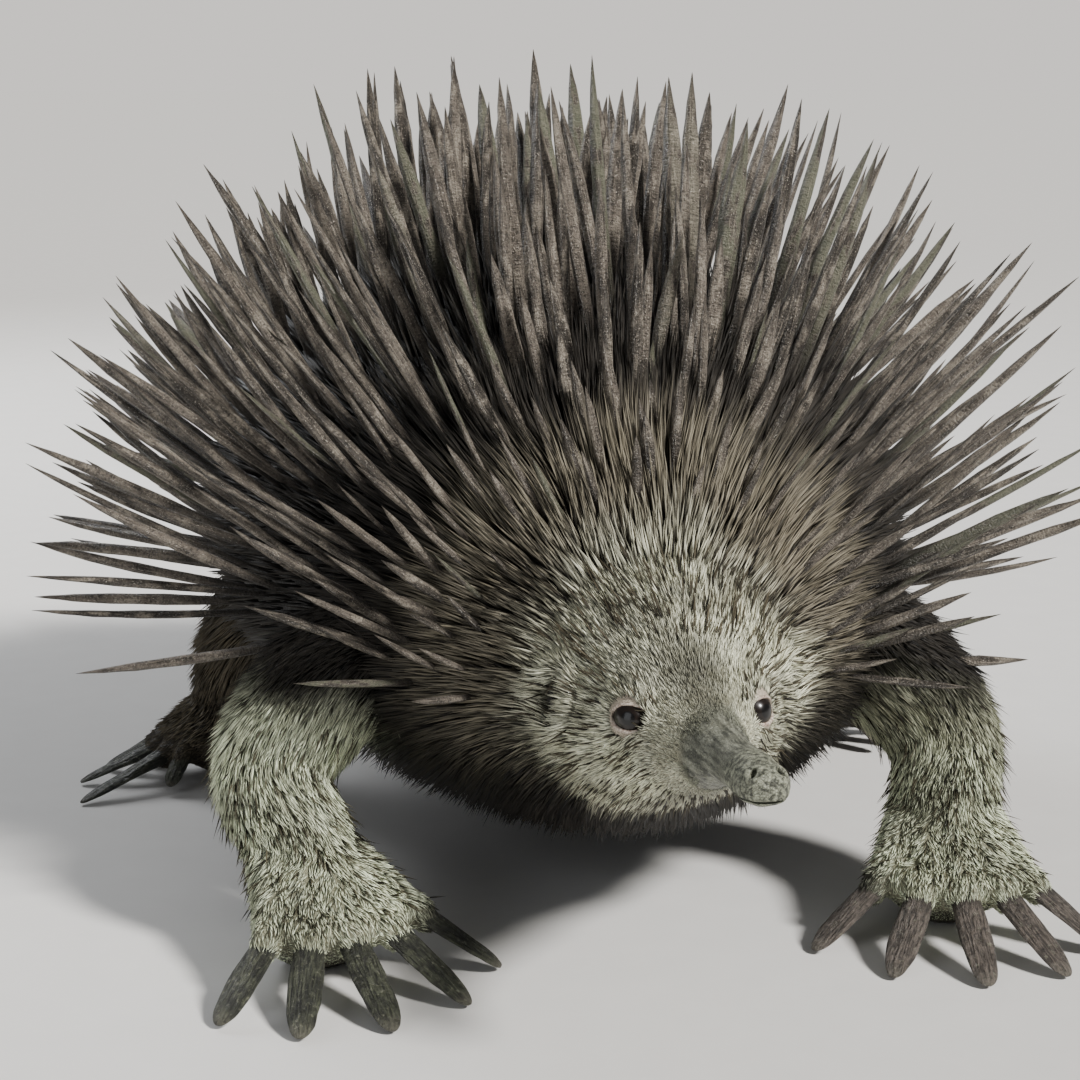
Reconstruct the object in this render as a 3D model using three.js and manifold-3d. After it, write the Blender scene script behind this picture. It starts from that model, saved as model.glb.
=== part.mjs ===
// A short-beaked echidna, life size: it stands on four feet with its spines raised.
// Millimetres, +Z up. The beak points to -Y and the animal's left side lies at +X.
// The origin is on the floor, under the middle of the whole animal.
import * as THREE from "three";
import { mergeVertices } from "three/addons/utils/BufferGeometryUtils.js";
import Module from "manifold-3d";

const wasm = await Module();
wasm.setup();

// Clearance between pieces that touch, and the finest detail kept after a cut
const GAP = 0.3;
const SLIVER = 0.1;

// Outline of head and body in one run, from the tip of the beak to the rump:
// place along Y, half width, height of the top line and height of the under line
const OUTLINE = [
  [-201, 1.2, 81.5, 78.9],
  [-199.5, 4.2, 84.2, 75.9],
  [-195, 6.1, 86.1, 73.8],
  [-186, 6.4, 86.0, 72.6],
  [-174, 6.3, 84.7, 71.6],
  [-161, 7.6, 84.4, 68.4],
  [-150, 10.0, 86.0, 64.8],
  [-141, 15.0, 90.0, 60.8],
  [-130, 22.0, 96.5, 56.2],
  [-113, 31.0, 106.5, 49.5],
  [-96, 41.0, 118.0, 43.0],
  [-76, 56.0, 133.0, 36.0],
  [-45, 78.0, 153.0, 30.0],
  [0, 96.0, 169.0, 27.0],
  [50, 102.0, 175.0, 26.0],
  [100, 99.0, 172.0, 27.0],
  [145, 86.0, 157.0, 31.0],
  [180, 64.0, 132.0, 40.0],
  [203, 38.0, 105.0, 53.0],
  [215, 12.0, 85.0, 67.0],
];
const Y = 0;
const HALF = 1;
const TOP = 2;
const LOW = 3;
// Share of the height at which a section is widest, and how square it is (2 is an ellipse)
const WIDEST_AT = 0.45;
const SQUARE_HEAD = 2.0;
const SQUARE_TRUNK = 2.3;

// Cuts between the pieces of that run
const BEAK_END_Y = -150;
const HEAD_END_Y = -100;
const NECK_END_Y = -52;

// Eyes
const EYE_Y = -135;
const EYE_ANGLE = 70;
const EYE_RADIUS = 5;
const EYE_SUNK = 3.2;
const LID_THICK = 1.3;
const LID_OPENING = { along: 4.5, across: 3.2 };

// Ears: short oval cups, taller than they are long
const EAR_Y = -112;
const EAR_ANGLE = 82;
const EAR_RADIUS = 4.6;
const EAR_TALL = 1.65;
const EAR_WALL = 1.1;
const EAR_STANDS = 3.2;
const EAR_ROOT = 3.0;

// Nostrils and mouth, on the last few millimetres of the beak
const NOSTRIL_Y = -196.5;
const NOSTRIL_ANGLE = 38;
const NOSTRIL_RADIUS = 1.15;
const MOUTH_LENGTH = 12;
const MOUTH_GAPE = 0.8;
const MOUTH_Z = 77.2;

// Raised spines cover the back and the flanks. lowest is how far down they grow, as an angle
// from the top line, and lean is how far they point backwards from straight out.
const SPINES = {
  fromY: -45,
  toY: 213,
  rowStep: 15,
  spacing: 16.8,
  lowest: 109,
  lean: 0.62,
  rise: 0.45,
  stray: 0.11,
  half: 3.3,
  thick: 3.3,
  widest: 0.4,
  sunk: 40,
  bend: 0.05,
  lengths: [
    [-45, 64],
    [0, 78],
    [50, 82],
    [100, 74],
    [160, 60],
    [213, 44],
  ],
};

// Short spines in the fur of the nape
const NAPE_SPINES = {
  ...SPINES,
  fromY: -84,
  toY: -58,
  rowStep: 15,
  lowest: 104,
  half: 2.6,
  thick: 2.6,
  sunk: 24,
  lengths: [
    [-84, 36],
    [-58, 56],
  ],
};

// Locks of coarse fur round the neck: those in front lie back, those behind stand up
const RUFF = {
  fromY: -96,
  toY: -58,
  rowStep: 12,
  spacing: 20,
  lowest: 178,
  leans: [
    [-96, 1.7],
    [-76, 1.0],
    [-58, 0.42],
  ],
  lengths: [
    [-96, 22],
    [-76, 25],
    [-58, 29],
  ],
  stray: 0.1,
  half: 5.4,
  thick: 2,
  widest: 0.34,
  sunk: 12,
  bend: 0.22,
};

// Locks that lie down the outer side of each foreleg, between shoulder and wrist
const LEG_LOCKS = {
  rings: [0.46, 0.62, 0.76],
  round: [-110, -40, 30, 100],
  out: 0.5,
  stray: 0.1,
  length: 14,
  half: 4.6,
  thick: 1.8,
  widest: 0.3,
  sunk: 8,
  bend: 0.15,
};

// Tail: a short cone, nearly hidden by the spines
const TAIL = { rootY: 196, tipY: 240, rootZ: 80, tipZ: 62, rootRadius: 22, tipRadius: 5 };

// Limbs, given for the left side; the right side mirrors them. toes are the angles of the toes
// from the foot's own heading, the inner toe first, and claws are the lengths of their claws.
const FORE = {
  path: [
    [50, -34, 84],
    [76, -42, 70],
    [93, -54, 48],
    [91, -70, 28],
    [88, -80, 15],
  ],
  radii: [22, 21, 18.5, 17, 17],
  wristZ: 20,
  paw: { x: 88, y: -86, half: 24, length: 21, height: 21, sides: 14 },
  toes: [60, 27, 0, -25, -52],
  reach: { across: 30, ahead: 23 },
  knuckleZ: 13,
  toeRadius: [4.6, 5.1, 5.2, 5.1, 4.7],
  claws: [22, 26, 28, 27, 23],
  clawHalf: 4,
  hasLocks: true,
};
const HIND = {
  path: [
    [48, 96, 84],
    [74, 98, 64],
    [92, 100, 44],
    [100, 101, 26],
    [104, 101, 13],
  ],
  radii: [30, 27, 21, 16.5, 15],
  wristZ: 18,
  paw: { x: 110, y: 101, half: 19, length: 21, height: 19, sides: 12 },
  toes: [52, 28, 4, -18, -40],
  reach: { across: 23, ahead: 21 },
  knuckleZ: 9,
  toeRadius: [3.6, 4.8, 4.5, 4.2, 3.8],
  claws: [9, 33, 25, 17, 13],
  clawHalf: 3,
  hasLocks: false,
};
// How far each foot turns inwards from straight ahead, in degrees
const FORE_TURN = { right: 14, left: 8 };
const HIND_TURN = { right: -84, left: -84 };
const TOE_SIDES = 6;

// Claws: half thickness, how far they bend down, how deep and wide they root in the toe
const CLAW_THICK = 2.1;
const CLAW_BEND = 1.6;
const CLAW_ROOT = 4;
const CLAW_ROOT_SHARE = 0.78;
const CLAW_POINTED = 0.93;
const CLAW_CLEAR = 0.9;

const FINISH = {
  coat: new THREE.MeshStandardMaterial({ color: 0x8b8673, roughness: 0.9 }),
  face: new THREE.MeshStandardMaterial({ color: 0x9d9a84, roughness: 0.88 }),
  beak: new THREE.MeshStandardMaterial({ color: 0x6e6d60, roughness: 0.6 }),
  spine: new THREE.MeshStandardMaterial({ color: 0x7a6c5f, roughness: 0.6 }),
  claw: new THREE.MeshStandardMaterial({ color: 0x5f5d55, roughness: 0.5 }),
  eye: new THREE.MeshStandardMaterial({ color: 0x141312, roughness: 0.08 }),
};

const radians = THREE.MathUtils.degToRad;
const vector = (x, y, z) => new THREE.Vector3(x, y, z);
const mix = THREE.MathUtils.lerp;

// A smooth value between rows of a table that never swings past them
function between(rows, column, at) {
  const last = rows.length - 1;
  let i = 0;
  while (i < last - 1 && at > rows[i + 1][Y]) i += 1;
  const step = (k) => rows[k + 1][Y] - rows[k][Y];
  const slope = (k) => (rows[k + 1][column] - rows[k][column]) / step(k);
  const tangent = (k) => {
    if (k === 0) return slope(0);
    if (k === last) return slope(last - 1);
    const before = slope(k - 1);
    const after = slope(k);
    return before * after <= 0 ? 0 : (2 * before * after) / (before + after);
  };
  const t = THREE.MathUtils.clamp((at - rows[i][Y]) / step(i), 0, 1);
  const rise = t * t * (3 - 2 * t);
  const level = mix(rows[i][column], rows[i + 1][column], rise);
  const start = tangent(i) * step(i) * t * (1 - t) * (1 - t);
  const end = tangent(i + 1) * step(i) * t * t * (1 - t);
  return level + start - end;
}

// A point of the body's surface: angle 0 is the top line and 90 degrees the animal's left
function skin(y, angle, grow = 0) {
  const half = between(OUTLINE, HALF, y) + grow;
  const top = between(OUTLINE, TOP, y) + grow;
  const low = between(OUTLINE, LOW, y) - grow;
  const wide = mix(low, top, WIDEST_AT);
  const trunk = THREE.MathUtils.smoothstep(y, HEAD_END_Y, 0);
  const power = 2 / mix(SQUARE_HEAD, SQUARE_TRUNK, trunk);
  const s = Math.sin(angle);
  const c = Math.cos(angle);
  const x = half * Math.sign(s) * Math.abs(s) ** power;
  const rise = c > 0 ? top - wide : wide - low;
  return vector(x, y, wide + rise * Math.sign(c) * Math.abs(c) ** power);
}

// The way the skin faces at a point
function outward(y, angle) {
  const small = 0.01;
  const length = skin(y + 1, angle).sub(skin(y - 1, angle));
  const round = skin(y, angle + small).sub(skin(y, angle - small));
  return round.cross(length).normalize();
}

// A closed solid from a closed geometry; faces that collapsed are dropped
function solid(geometry) {
  geometry.deleteAttribute("normal");
  geometry.deleteAttribute("uv");
  const merged = mergeVertices(geometry, 1e-3);
  const index = merged.index.array;
  const kept = [];
  for (let i = 0; i < index.length; i += 3) {
    const [a, b, c] = [index[i], index[i + 1], index[i + 2]];
    if (a !== b && b !== c && c !== a) kept.push(a, b, c);
  }
  const vertProperties = merged.attributes.position.array;
  const build = (corners) =>
    new wasm.Manifold(
      new wasm.Mesh({ numProp: 3, vertProperties, triVerts: new Uint32Array(corners) }),
    );
  const made = build(kept);
  return made.volume() > 0 ? made : build(kept.reverse());
}

// Moves every vertex of a geometry
function shape(geometry, place) {
  const at = geometry.attributes.position;
  for (let i = 0; i < at.count; i += 1) {
    const moved = place(vector(at.getX(i), at.getY(i), at.getZ(i)));
    at.setXYZ(i, moved.x, moved.y, moved.z);
  }
  return geometry;
}

// A closed body through rings: place(ring, angle, rim) gives a point, with rim 0 at an end's middle
function loft(sides, rings, place) {
  const drum = new THREE.CylinderGeometry(1, 1, 1, sides, rings - 1);
  return solid(
    shape(drum, (p) => {
      const ring = Math.round((0.5 - p.y) * (rings - 1));
      return place(ring, Math.atan2(p.x, p.z), Math.hypot(p.x, p.z) > 0.5 ? 1 : 0);
    }),
  );
}

// The run from beak to rump as one solid; grow moves its surface outwards
function bodyRun(sides, grow = 0) {
  const places = [];
  OUTLINE.forEach((row, i) => {
    places.push(row[Y]);
    if (i < OUTLINE.length - 1) places.push((row[Y] + OUTLINE[i + 1][Y]) / 2);
  });
  places[0] -= grow;
  places[places.length - 1] += grow;
  return loft(sides, places.length, (ring, angle, rim) => {
    const at = skin(places[ring], angle, grow);
    if (rim) return at;
    return skin(places[ring], 0, grow).add(skin(places[ring], Math.PI, grow)).multiplyScalar(0.5);
  });
}

// A radius between those of a list that is spread evenly from 0 to 1
function radiusAt(radii, t) {
  const far = t * (radii.length - 1);
  const low = Math.min(Math.floor(far), radii.length - 2);
  return mix(radii[low], radii[low + 1], far - low);
}

// A round limb along points, each with its own radius
function tube(points, radii, sides, steps) {
  const curve = new THREE.CatmullRomCurve3(points);
  const frames = curve.computeFrenetFrames(steps, false);
  return loft(sides, steps + 1, (ring, angle, rim) => {
    const t = ring / steps;
    const radius = radiusAt(radii, t) * rim;
    return curve
      .getPoint(t)
      .addScaledVector(frames.normals[ring], radius * Math.cos(angle))
      .addScaledVector(frames.binormals[ring], radius * Math.sin(angle));
  });
}

// A box between two corners, for cuts by planes
function block(low, high) {
  const box = new THREE.BoxGeometry(high[0] - low[0], high[1] - low[1], high[2] - low[2]);
  box.translate((low[0] + high[0]) / 2, (low[1] + high[1]) / 2, (low[2] + high[2]) / 2);
  return solid(box);
}

const FAR = 1000;
const slice = (from, to) => block([-FAR, from + GAP / 2, -FAR], [FAR, to - GAP / 2, FAR]);

// An egg of three radii, turned so that its own Z axis points along a direction
function egg(center, radii, along, sides = 16) {
  const ball = new THREE.SphereGeometry(1, sides, Math.round(sides * 0.6));
  ball.rotateX(Math.PI / 2);
  ball.scale(radii[0], radii[1], radii[2]);
  ball.applyQuaternion(facing(along));
  ball.translate(center.x, center.y, center.z);
  return solid(ball);
}

// The turn that brings +Z to a direction and keeps +X level
function facing(direction) {
  const z = direction.clone().normalize();
  const x = vector(0, 0, 1).cross(z).normalize();
  return new THREE.Quaternion().setFromRotationMatrix(
    new THREE.Matrix4().makeBasis(x, z.clone().cross(x), z),
  );
}

// The largest closed piece, without the slivers that cuts leave
function largest(made) {
  return made
    .simplify(SLIVER)
    .decompose()
    .reduce((a, b) => (a.volume() > b.volume() ? a : b));
}

function geometryOf(made) {
  const mesh = made.getMesh();
  const geometry = new THREE.BufferGeometry();
  geometry.setAttribute("position", new THREE.BufferAttribute(mesh.vertProperties, 3));
  geometry.setIndex(new THREE.BufferAttribute(mesh.triVerts, 1));
  geometry.computeVertexNormals();
  return geometry;
}

const animal = new THREE.Group();

function add(name, geometry, finish) {
  const mesh = new THREE.Mesh(geometry, finish);
  mesh.name = name;
  animal.add(mesh);
  return mesh;
}

// Beak, head, neck and torso
const BODY_SIDES = 24;
const BEAK_SIDES = 16;
const run = bodyRun(BODY_SIDES);
const grownRun = bodyRun(BODY_SIDES, GAP);

function beak() {
  let made = bodyRun(BEAK_SIDES).intersect(slice(-FAR, BEAK_END_Y));
  for (const side of [-1, 1]) {
    const angle = side * radians(NOSTRIL_ANGLE);
    const at = skin(NOSTRIL_Y, angle);
    const pit = [NOSTRIL_RADIUS, NOSTRIL_RADIUS * 1.3, NOSTRIL_RADIUS * 1.5];
    made = made.subtract(egg(at, pit, outward(NOSTRIL_Y, angle), 8));
  }
  const mouth = block(
    [-FAR, OUTLINE[0][Y] - 1, MOUTH_Z - MOUTH_GAPE / 2],
    [FAR, OUTLINE[0][Y] + MOUTH_LENGTH, MOUTH_Z + MOUTH_GAPE / 2],
  );
  return largest(made.subtract(mouth));
}

const eyeNormal = (side) => outward(EYE_Y, side * radians(EYE_ANGLE));
const eyeCenter = (side) =>
  skin(EYE_Y, side * radians(EYE_ANGLE)).addScaledVector(eyeNormal(side), -EYE_SUNK);

// The ear's cup: its outer form, and the hollow in it
function earOuter(side, grow) {
  const rim = EAR_RADIUS + grow;
  const root = EAR_RADIUS * 0.6 + grow;
  return earLathe(side, [
    [0, -EAR_ROOT - grow],
    [root, -EAR_ROOT - grow],
    [rim * 0.92, 0],
    [rim, EAR_STANDS],
    [0, EAR_STANDS],
  ]);
}

function earHollow(side) {
  const rim = EAR_RADIUS - EAR_WALL;
  return earLathe(side, [
    [0, -EAR_ROOT + EAR_WALL],
    [rim * 0.5, -EAR_ROOT + EAR_WALL],
    [rim * 0.9, 0],
    [rim, EAR_STANDS + 1],
    [0, EAR_STANDS + 1],
  ]);
}

function earLathe(side, profile) {
  const points = profile.map(([r, z]) => new THREE.Vector2(r, z));
  const cup = new THREE.LatheGeometry(points, 12);
  cup.rotateX(Math.PI / 2);
  cup.scale(1, EAR_TALL, 1);
  const angle = side * radians(EAR_ANGLE);
  cup.applyQuaternion(facing(outward(EAR_Y, angle)));
  const at = skin(EAR_Y, angle);
  cup.translate(at.x, at.y, at.z);
  return solid(cup);
}

function head() {
  let made = run.intersect(slice(BEAK_END_Y, HEAD_END_Y));
  for (const side of [-1, 1]) {
    const normal = eyeNormal(side);
    const center = eyeCenter(side);
    const lid = EYE_RADIUS + LID_THICK;
    made = made.add(egg(center, [lid, lid, lid], normal, 12));
    const mouthOfLids = center.clone().addScaledVector(normal, EYE_RADIUS);
    const opening = [LID_OPENING.along, LID_OPENING.across, EYE_RADIUS];
    made = made.subtract(egg(mouthOfLids, opening, normal, 12));
    const socket = EYE_RADIUS + GAP;
    made = made.subtract(egg(center, [socket, socket, socket], normal, 12));
    made = made.subtract(earOuter(side, GAP));
  }
  return largest(made);
}

// The way a spine or lock grows: out of the skin and leaning back
function growth(y, angle, lean) {
  return outward(y, angle).add(vector(0, lean, 0)).normalize();
}

// A small random change of direction, the same each time the part is made
let seed = 20.5;
function chance() {
  seed = (seed * 16807) % 2147483647;
  return seed / 2147483647;
}

function stray(amount) {
  const each = () => (2 * chance() - 1) * amount;
  return vector(each(), each(), each());
}

// Roots spread evenly over the skin, in staggered rows across the body
function rootsOf({ fromY, toY, rowStep, spacing, lowest }) {
  const roots = [];
  let lastRow = null;
  let rows = 0;
  for (let y = fromY; y <= toY; y += 1) {
    if (lastRow !== null && skin(y, 0).distanceTo(skin(lastRow, 0)) < rowStep) continue;
    lastRow = y;
    rows += 1;
    let travelled = (rows % 2 ? 0.25 : 0.75) * spacing;
    for (let degree = -lowest; degree < lowest; degree += 1) {
      travelled += skin(y, radians(degree)).distanceTo(skin(y, radians(degree + 1)));
      if (travelled < spacing) continue;
      travelled -= spacing;
      roots.push({ y, angle: radians(degree) });
    }
  }
  return roots;
}

// A spindle from a point deep in the body, widest some way up, to a sharp tip.
// It has few sides, is half by thick across, and bends over towards a side.
function spindle(sides, root, direction, side, { length, half, thick, widest, sunk, bend }) {
  const form = new THREE.SphereGeometry(1, sides, 2);
  shape(form, (p) => {
    const along = [-sunk, widest * length, length][Math.round(p.y) + 1];
    return vector(p.x * half, along, p.z * thick);
  });
  return bent(form, root, direction, side, length, bend);
}

// Sets a form that grows along its own Y axis on a root, and bends it over towards its side
function bent(form, root, direction, side, length, bend) {
  const across = side.clone().cross(direction).normalize();
  const flat = direction.clone().cross(across);
  const basis = new THREE.Matrix4().makeBasis(across, direction, flat.negate());
  form.applyMatrix4(basis.setPosition(root));
  return solid(
    shape(form, (p) => {
      const along = Math.max(0, p.clone().sub(root).dot(direction)) / length;
      return p.addScaledVector(side, bend * length * along * along);
    }),
  );
}

// Whether a form would come too near a leg or the tail
function isClear(root, direction, length, room) {
  return [0.15, 0.5, 1].every((t) => {
    const at = root.clone().addScaledVector(direction, t * length);
    return obstacles.every(({ from, to, radius }) => {
      const nearest = new THREE.Line3(from, to).closestPointToPoint(at, true, vector(0, 0, 0));
      return nearest.distanceTo(at) > radius + room;
    });
  });
}

// Turns a form so that its tip stays on its own side of the cut between neck and torso
function keepOnOwnSide(direction, root, length) {
  const edge = NECK_END_Y - root.y;
  const room = (edge - 3 * Math.sign(edge)) / length;
  direction.y = edge > 0 ? Math.min(direction.y, room) : Math.max(direction.y, room);
  return direction.normalize();
}

function spinesOf(field) {
  const made = [];
  for (const { y, angle } of rootsOf(field)) {
    const aside = THREE.MathUtils.smoothstep(Math.abs(angle), 0, Math.PI / 2);
    const direction = growth(y, angle, field.lean)
      .add(stray(field.stray))
      .add(vector(0, 0, field.rise * aside));
    const root = skin(y, angle);
    const length = between(field.lengths, 1, y) * mix(0.82, 1.03, chance());
    keepOnOwnSide(direction.normalize(), root, length);
    if (!isClear(root, direction, length, field.half + GAP)) continue;
    const lift = vector(0, 0.4, 1).projectOnPlane(direction).normalize();
    made.push(spindle(3, root, direction, lift, { ...field, length }));
  }
  return made;
}

function ruffLocks() {
  const made = [];
  for (const { y, angle } of rootsOf(RUFF)) {
    const direction = growth(y, angle, between(RUFF.leans, 1, y)).add(stray(RUFF.stray)).normalize();
    const root = skin(y, angle);
    const length = between(RUFF.lengths, 1, y) * mix(0.85, 1.1, chance());
    keepOnOwnSide(direction, root, length);
    if (!isClear(root, direction, length, RUFF.half)) continue;
    const back = vector(0, 1, 0).projectOnPlane(direction).normalize();
    made.push(spindle(4, root, direction, back, { ...RUFF, length }));
  }
  return made;
}

function tail(grow = 0) {
  const points = [vector(0, TAIL.rootY, TAIL.rootZ), vector(0, TAIL.tipY + grow, TAIL.tipZ)];
  const middle = points[0].clone().lerp(points[1], 0.5);
  const radii = [TAIL.rootRadius + grow, TAIL.rootRadius * 0.6 + grow, TAIL.tipRadius + grow];
  return tube([points[0], middle, points[1]], radii, 14, 5);
}

// One limb: leg above the wrist or ankle, and foot with its toes below
const jointsOf = (limb, side) => limb.path.map(([x, y, z]) => vector(side * x, y, z));

function limbTube(limb, side, grow = 0) {
  const radii = limb.radii.map((r) => r + grow);
  return tube(jointsOf(limb, side), radii, 16, 7);
}

function legLocks(limb, side) {
  const curve = new THREE.CatmullRomCurve3(jointsOf(limb, side));
  const made = [];
  for (const t of LEG_LOCKS.rings) {
    const down = curve.getTangent(t);
    for (const turn of LEG_LOCKS.round) {
      const out = vector(side, 0, 0).projectOnPlane(down).normalize();
      out.applyAxisAngle(down, radians(turn) + t);
      const root = curve.getPoint(t).addScaledVector(out, radiusAt(limb.radii, t));
      const lie = down.clone().addScaledVector(out, LEG_LOCKS.out).add(stray(LEG_LOCKS.stray));
      made.push(spindle(4, root, lie.normalize(), down, LEG_LOCKS));
    }
  }
  return wasm.Manifold.union(made);
}

function toeEnds(limb, side, turn) {
  const center = vector(side * limb.paw.x, limb.paw.y, limb.knuckleZ);
  return limb.toes.map((spread, i) => {
    const heading = (inwards) => vector(-side * Math.sin(inwards), -Math.cos(inwards), 0);
    const ahead = heading(radians(turn + spread));
    const tipZ = CLAW_CLEAR + CLAW_BEND;
    const slope = Math.asin((limb.knuckleZ - tipZ) / Math.max(limb.claws[i], limb.knuckleZ * 1.4));
    const down = ahead.clone().multiplyScalar(Math.cos(slope)).setZ(-Math.sin(slope));
    const knuckle = center
      .clone()
      .addScaledVector(heading(radians(turn)), limb.reach.ahead * Math.cos(radians(spread)))
      .addScaledVector(heading(radians(turn + 90)), limb.reach.across * Math.sin(radians(spread)));
    return { down, knuckle, center };
  });
}

// A flattened claw along +X from just behind the origin, bending down to its blunt tip
function clawGeometry(limb, i) {
  const root = limb.toeRadius[i] * CLAW_ROOT_SHARE;
  const claw = new THREE.CylinderGeometry(1, 1, 1, TOE_SIDES, 4);
  return shape(claw, (p) => {
    const h = 0.5 - p.y;
    const taper = Math.sqrt(1 - CLAW_POINTED * h * h);
    const width = mix(root, limb.clawHalf, Math.min(1, 3 * h)) * taper;
    const thick = mix(root, CLAW_THICK, Math.min(1, 2 * h)) * taper;
    const along = mix(-CLAW_ROOT, limb.claws[i], h);
    return vector(along, p.x * width, p.z * thick - CLAW_BEND * h * h);
  });
}

// How a claw is placed: its own X axis runs down the toe and its Y axis stays level
function clawTurn({ down }) {
  const level = vector(0, 0, 1).cross(down).normalize();
  return new THREE.Quaternion().setFromRotationMatrix(
    new THREE.Matrix4().makeBasis(down, level, down.clone().cross(level)),
  );
}

function addClaws(name, limb, side, turn) {
  toeEnds(limb, side, turn).forEach((toe, i) => {
    const claw = add(`${name}_claw_${i + 1}`, geometryOf(solid(clawGeometry(limb, i))), FINISH.claw);
    claw.position.copy(toe.knuckle);
    claw.quaternion.copy(clawTurn(toe));
  });
}

function foot(limb, side, turn) {
  const { x, y, half, length, height, sides: pawSides } = limb.paw;
  const rings = [
    { z: 0, size: 0.86 },
    { z: 0.2, size: 1 },
    { z: 0.6, size: 0.92 },
    { z: 1, size: 0.55 },
  ];
  const turned = radians(turn) * side;
  let made = loft(pawSides, rings.length, (ring, angle, rim) => {
    const { z, size } = rings[ring];
    const p = vector(half * Math.sin(angle), length * Math.cos(angle), 0).multiplyScalar(size * rim);
    p.applyAxisAngle(vector(0, 0, 1), turned);
    return p.add(vector(side * x, y, z * height));
  });
  toeEnds(limb, side, turn).forEach(({ down, knuckle, center }, i) => {
    const radius = limb.toeRadius[i];
    const before = knuckle.clone().addScaledVector(down, -0.35 * limb.reach.ahead);
    const start = center.clone().lerp(knuckle, 0.25);
    made = made.add(tube([start, before, knuckle], [radius, radius * 1.1, radius], TOE_SIDES, 2));
  });
  const below = block([-FAR, -FAR, 0], [FAR, FAR, limb.wristZ - GAP / 2]);
  made = made.add(limbTube(limb, side)).intersect(below);
  toeEnds(limb, side, turn).forEach((toe, i) => {
    const root = limb.toeRadius[i] * CLAW_ROOT_SHARE + GAP;
    const socket = new THREE.CylinderGeometry(root, root, 4 * CLAW_ROOT, TOE_SIDES);
    socket.rotateZ(Math.PI / 2).translate(CLAW_ROOT - GAP, 0, 0);
    socket.applyQuaternion(clawTurn(toe));
    socket.translate(toe.knuckle.x, toe.knuckle.y, toe.knuckle.z);
    made = made.subtract(solid(socket));
  });
  return largest(made);
}

function leg(limb, side) {
  const above = block([-FAR, -FAR, limb.wristZ + GAP / 2], [FAR, FAR, FAR]);
  let made = limbTube(limb, side);
  if (limb.hasLocks) made = made.add(legLocks(limb, side));
  return largest(made.intersect(above).subtract(grownRun));
}


add("beak", geometryOf(beak()), FINISH.beak);
add("head", geometryOf(head()), FINISH.face);

const sides = { right: -1, left: 1 };
let keepOut = tail(2 * GAP);
const tailLine = [vector(0, TAIL.rootY, TAIL.rootZ), vector(0, TAIL.tipY, TAIL.tipZ)];
const obstacles = [{ from: tailLine[0], to: tailLine[1], radius: TAIL.tipRadius * 2 }];
for (const [name, side] of Object.entries(sides)) {
  const eye = add(`eye_${name}`, new THREE.SphereGeometry(EYE_RADIUS, 14, 9), FINISH.eye);
  eye.position.copy(eyeCenter(side));
  const ear = earOuter(side, 0).subtract(earHollow(side));
  add(`ear_${name}`, geometryOf(ear), FINISH.face);
  add(`foreleg_${name}`, geometryOf(leg(FORE, side)), FINISH.coat);
  add(`forefoot_${name}`, geometryOf(foot(FORE, side, FORE_TURN[name])), FINISH.coat);
  addClaws(`fore_${name}`, FORE, side, FORE_TURN[name]);
  add(`hindleg_${name}`, geometryOf(leg(HIND, side)), FINISH.coat);
  add(`hindfoot_${name}`, geometryOf(foot(HIND, side, HIND_TURN[name])), FINISH.coat);
  addClaws(`hind_${name}`, HIND, side, HIND_TURN[name]);
  keepOut = keepOut.add(limbTube(FORE, side, 2 * GAP)).add(limbTube(HIND, side, 2 * GAP));
  for (const limb of [FORE, HIND]) {
    const joints = jointsOf(limb, side);
    const coat = limb.hasLocks ? LEG_LOCKS.length / 2 : 0;
    joints.slice(1).forEach((to, i) => {
      const radius = Math.max(limb.radii[i], limb.radii[i + 1]) + coat;
      obstacles.push({ from: joints[i], to, radius });
    });
  }
}
add("tail", geometryOf(largest(tail().subtract(grownRun))), FINISH.coat);

const union = (forms) => wasm.Manifold.union(forms);
const neckForms = union([...ruffLocks(), ...spinesOf(NAPE_SPINES)]);
const neck = run.add(neckForms.subtract(keepOut.subtract(run)));
add("neck", geometryOf(largest(neck.intersect(slice(HEAD_END_Y, NECK_END_Y)))), FINISH.coat);
const torso = run.add(union(spinesOf(SPINES)).subtract(keepOut.subtract(run)));
add("torso", geometryOf(largest(torso.intersect(slice(NECK_END_Y, FAR)))), FINISH.spine);

// The middle of the whole animal goes over the origin
const bounds = new THREE.Box3().setFromObject(animal, true);
animal.position.set(-(bounds.min.x + bounds.max.x) / 2, -(bounds.min.y + bounds.max.y) / 2, 0);

export default animal;
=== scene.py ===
"""A short-beaked echidna, life size, standing on four feet with its spines raised.

The animal is designed in millimetres, with its beak towards -Y and its left side at +X.
place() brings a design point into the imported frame, in metres.
"""

import math

import bpy
import numpy as np
from mathutils import Matrix, Vector, kdtree


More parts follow.
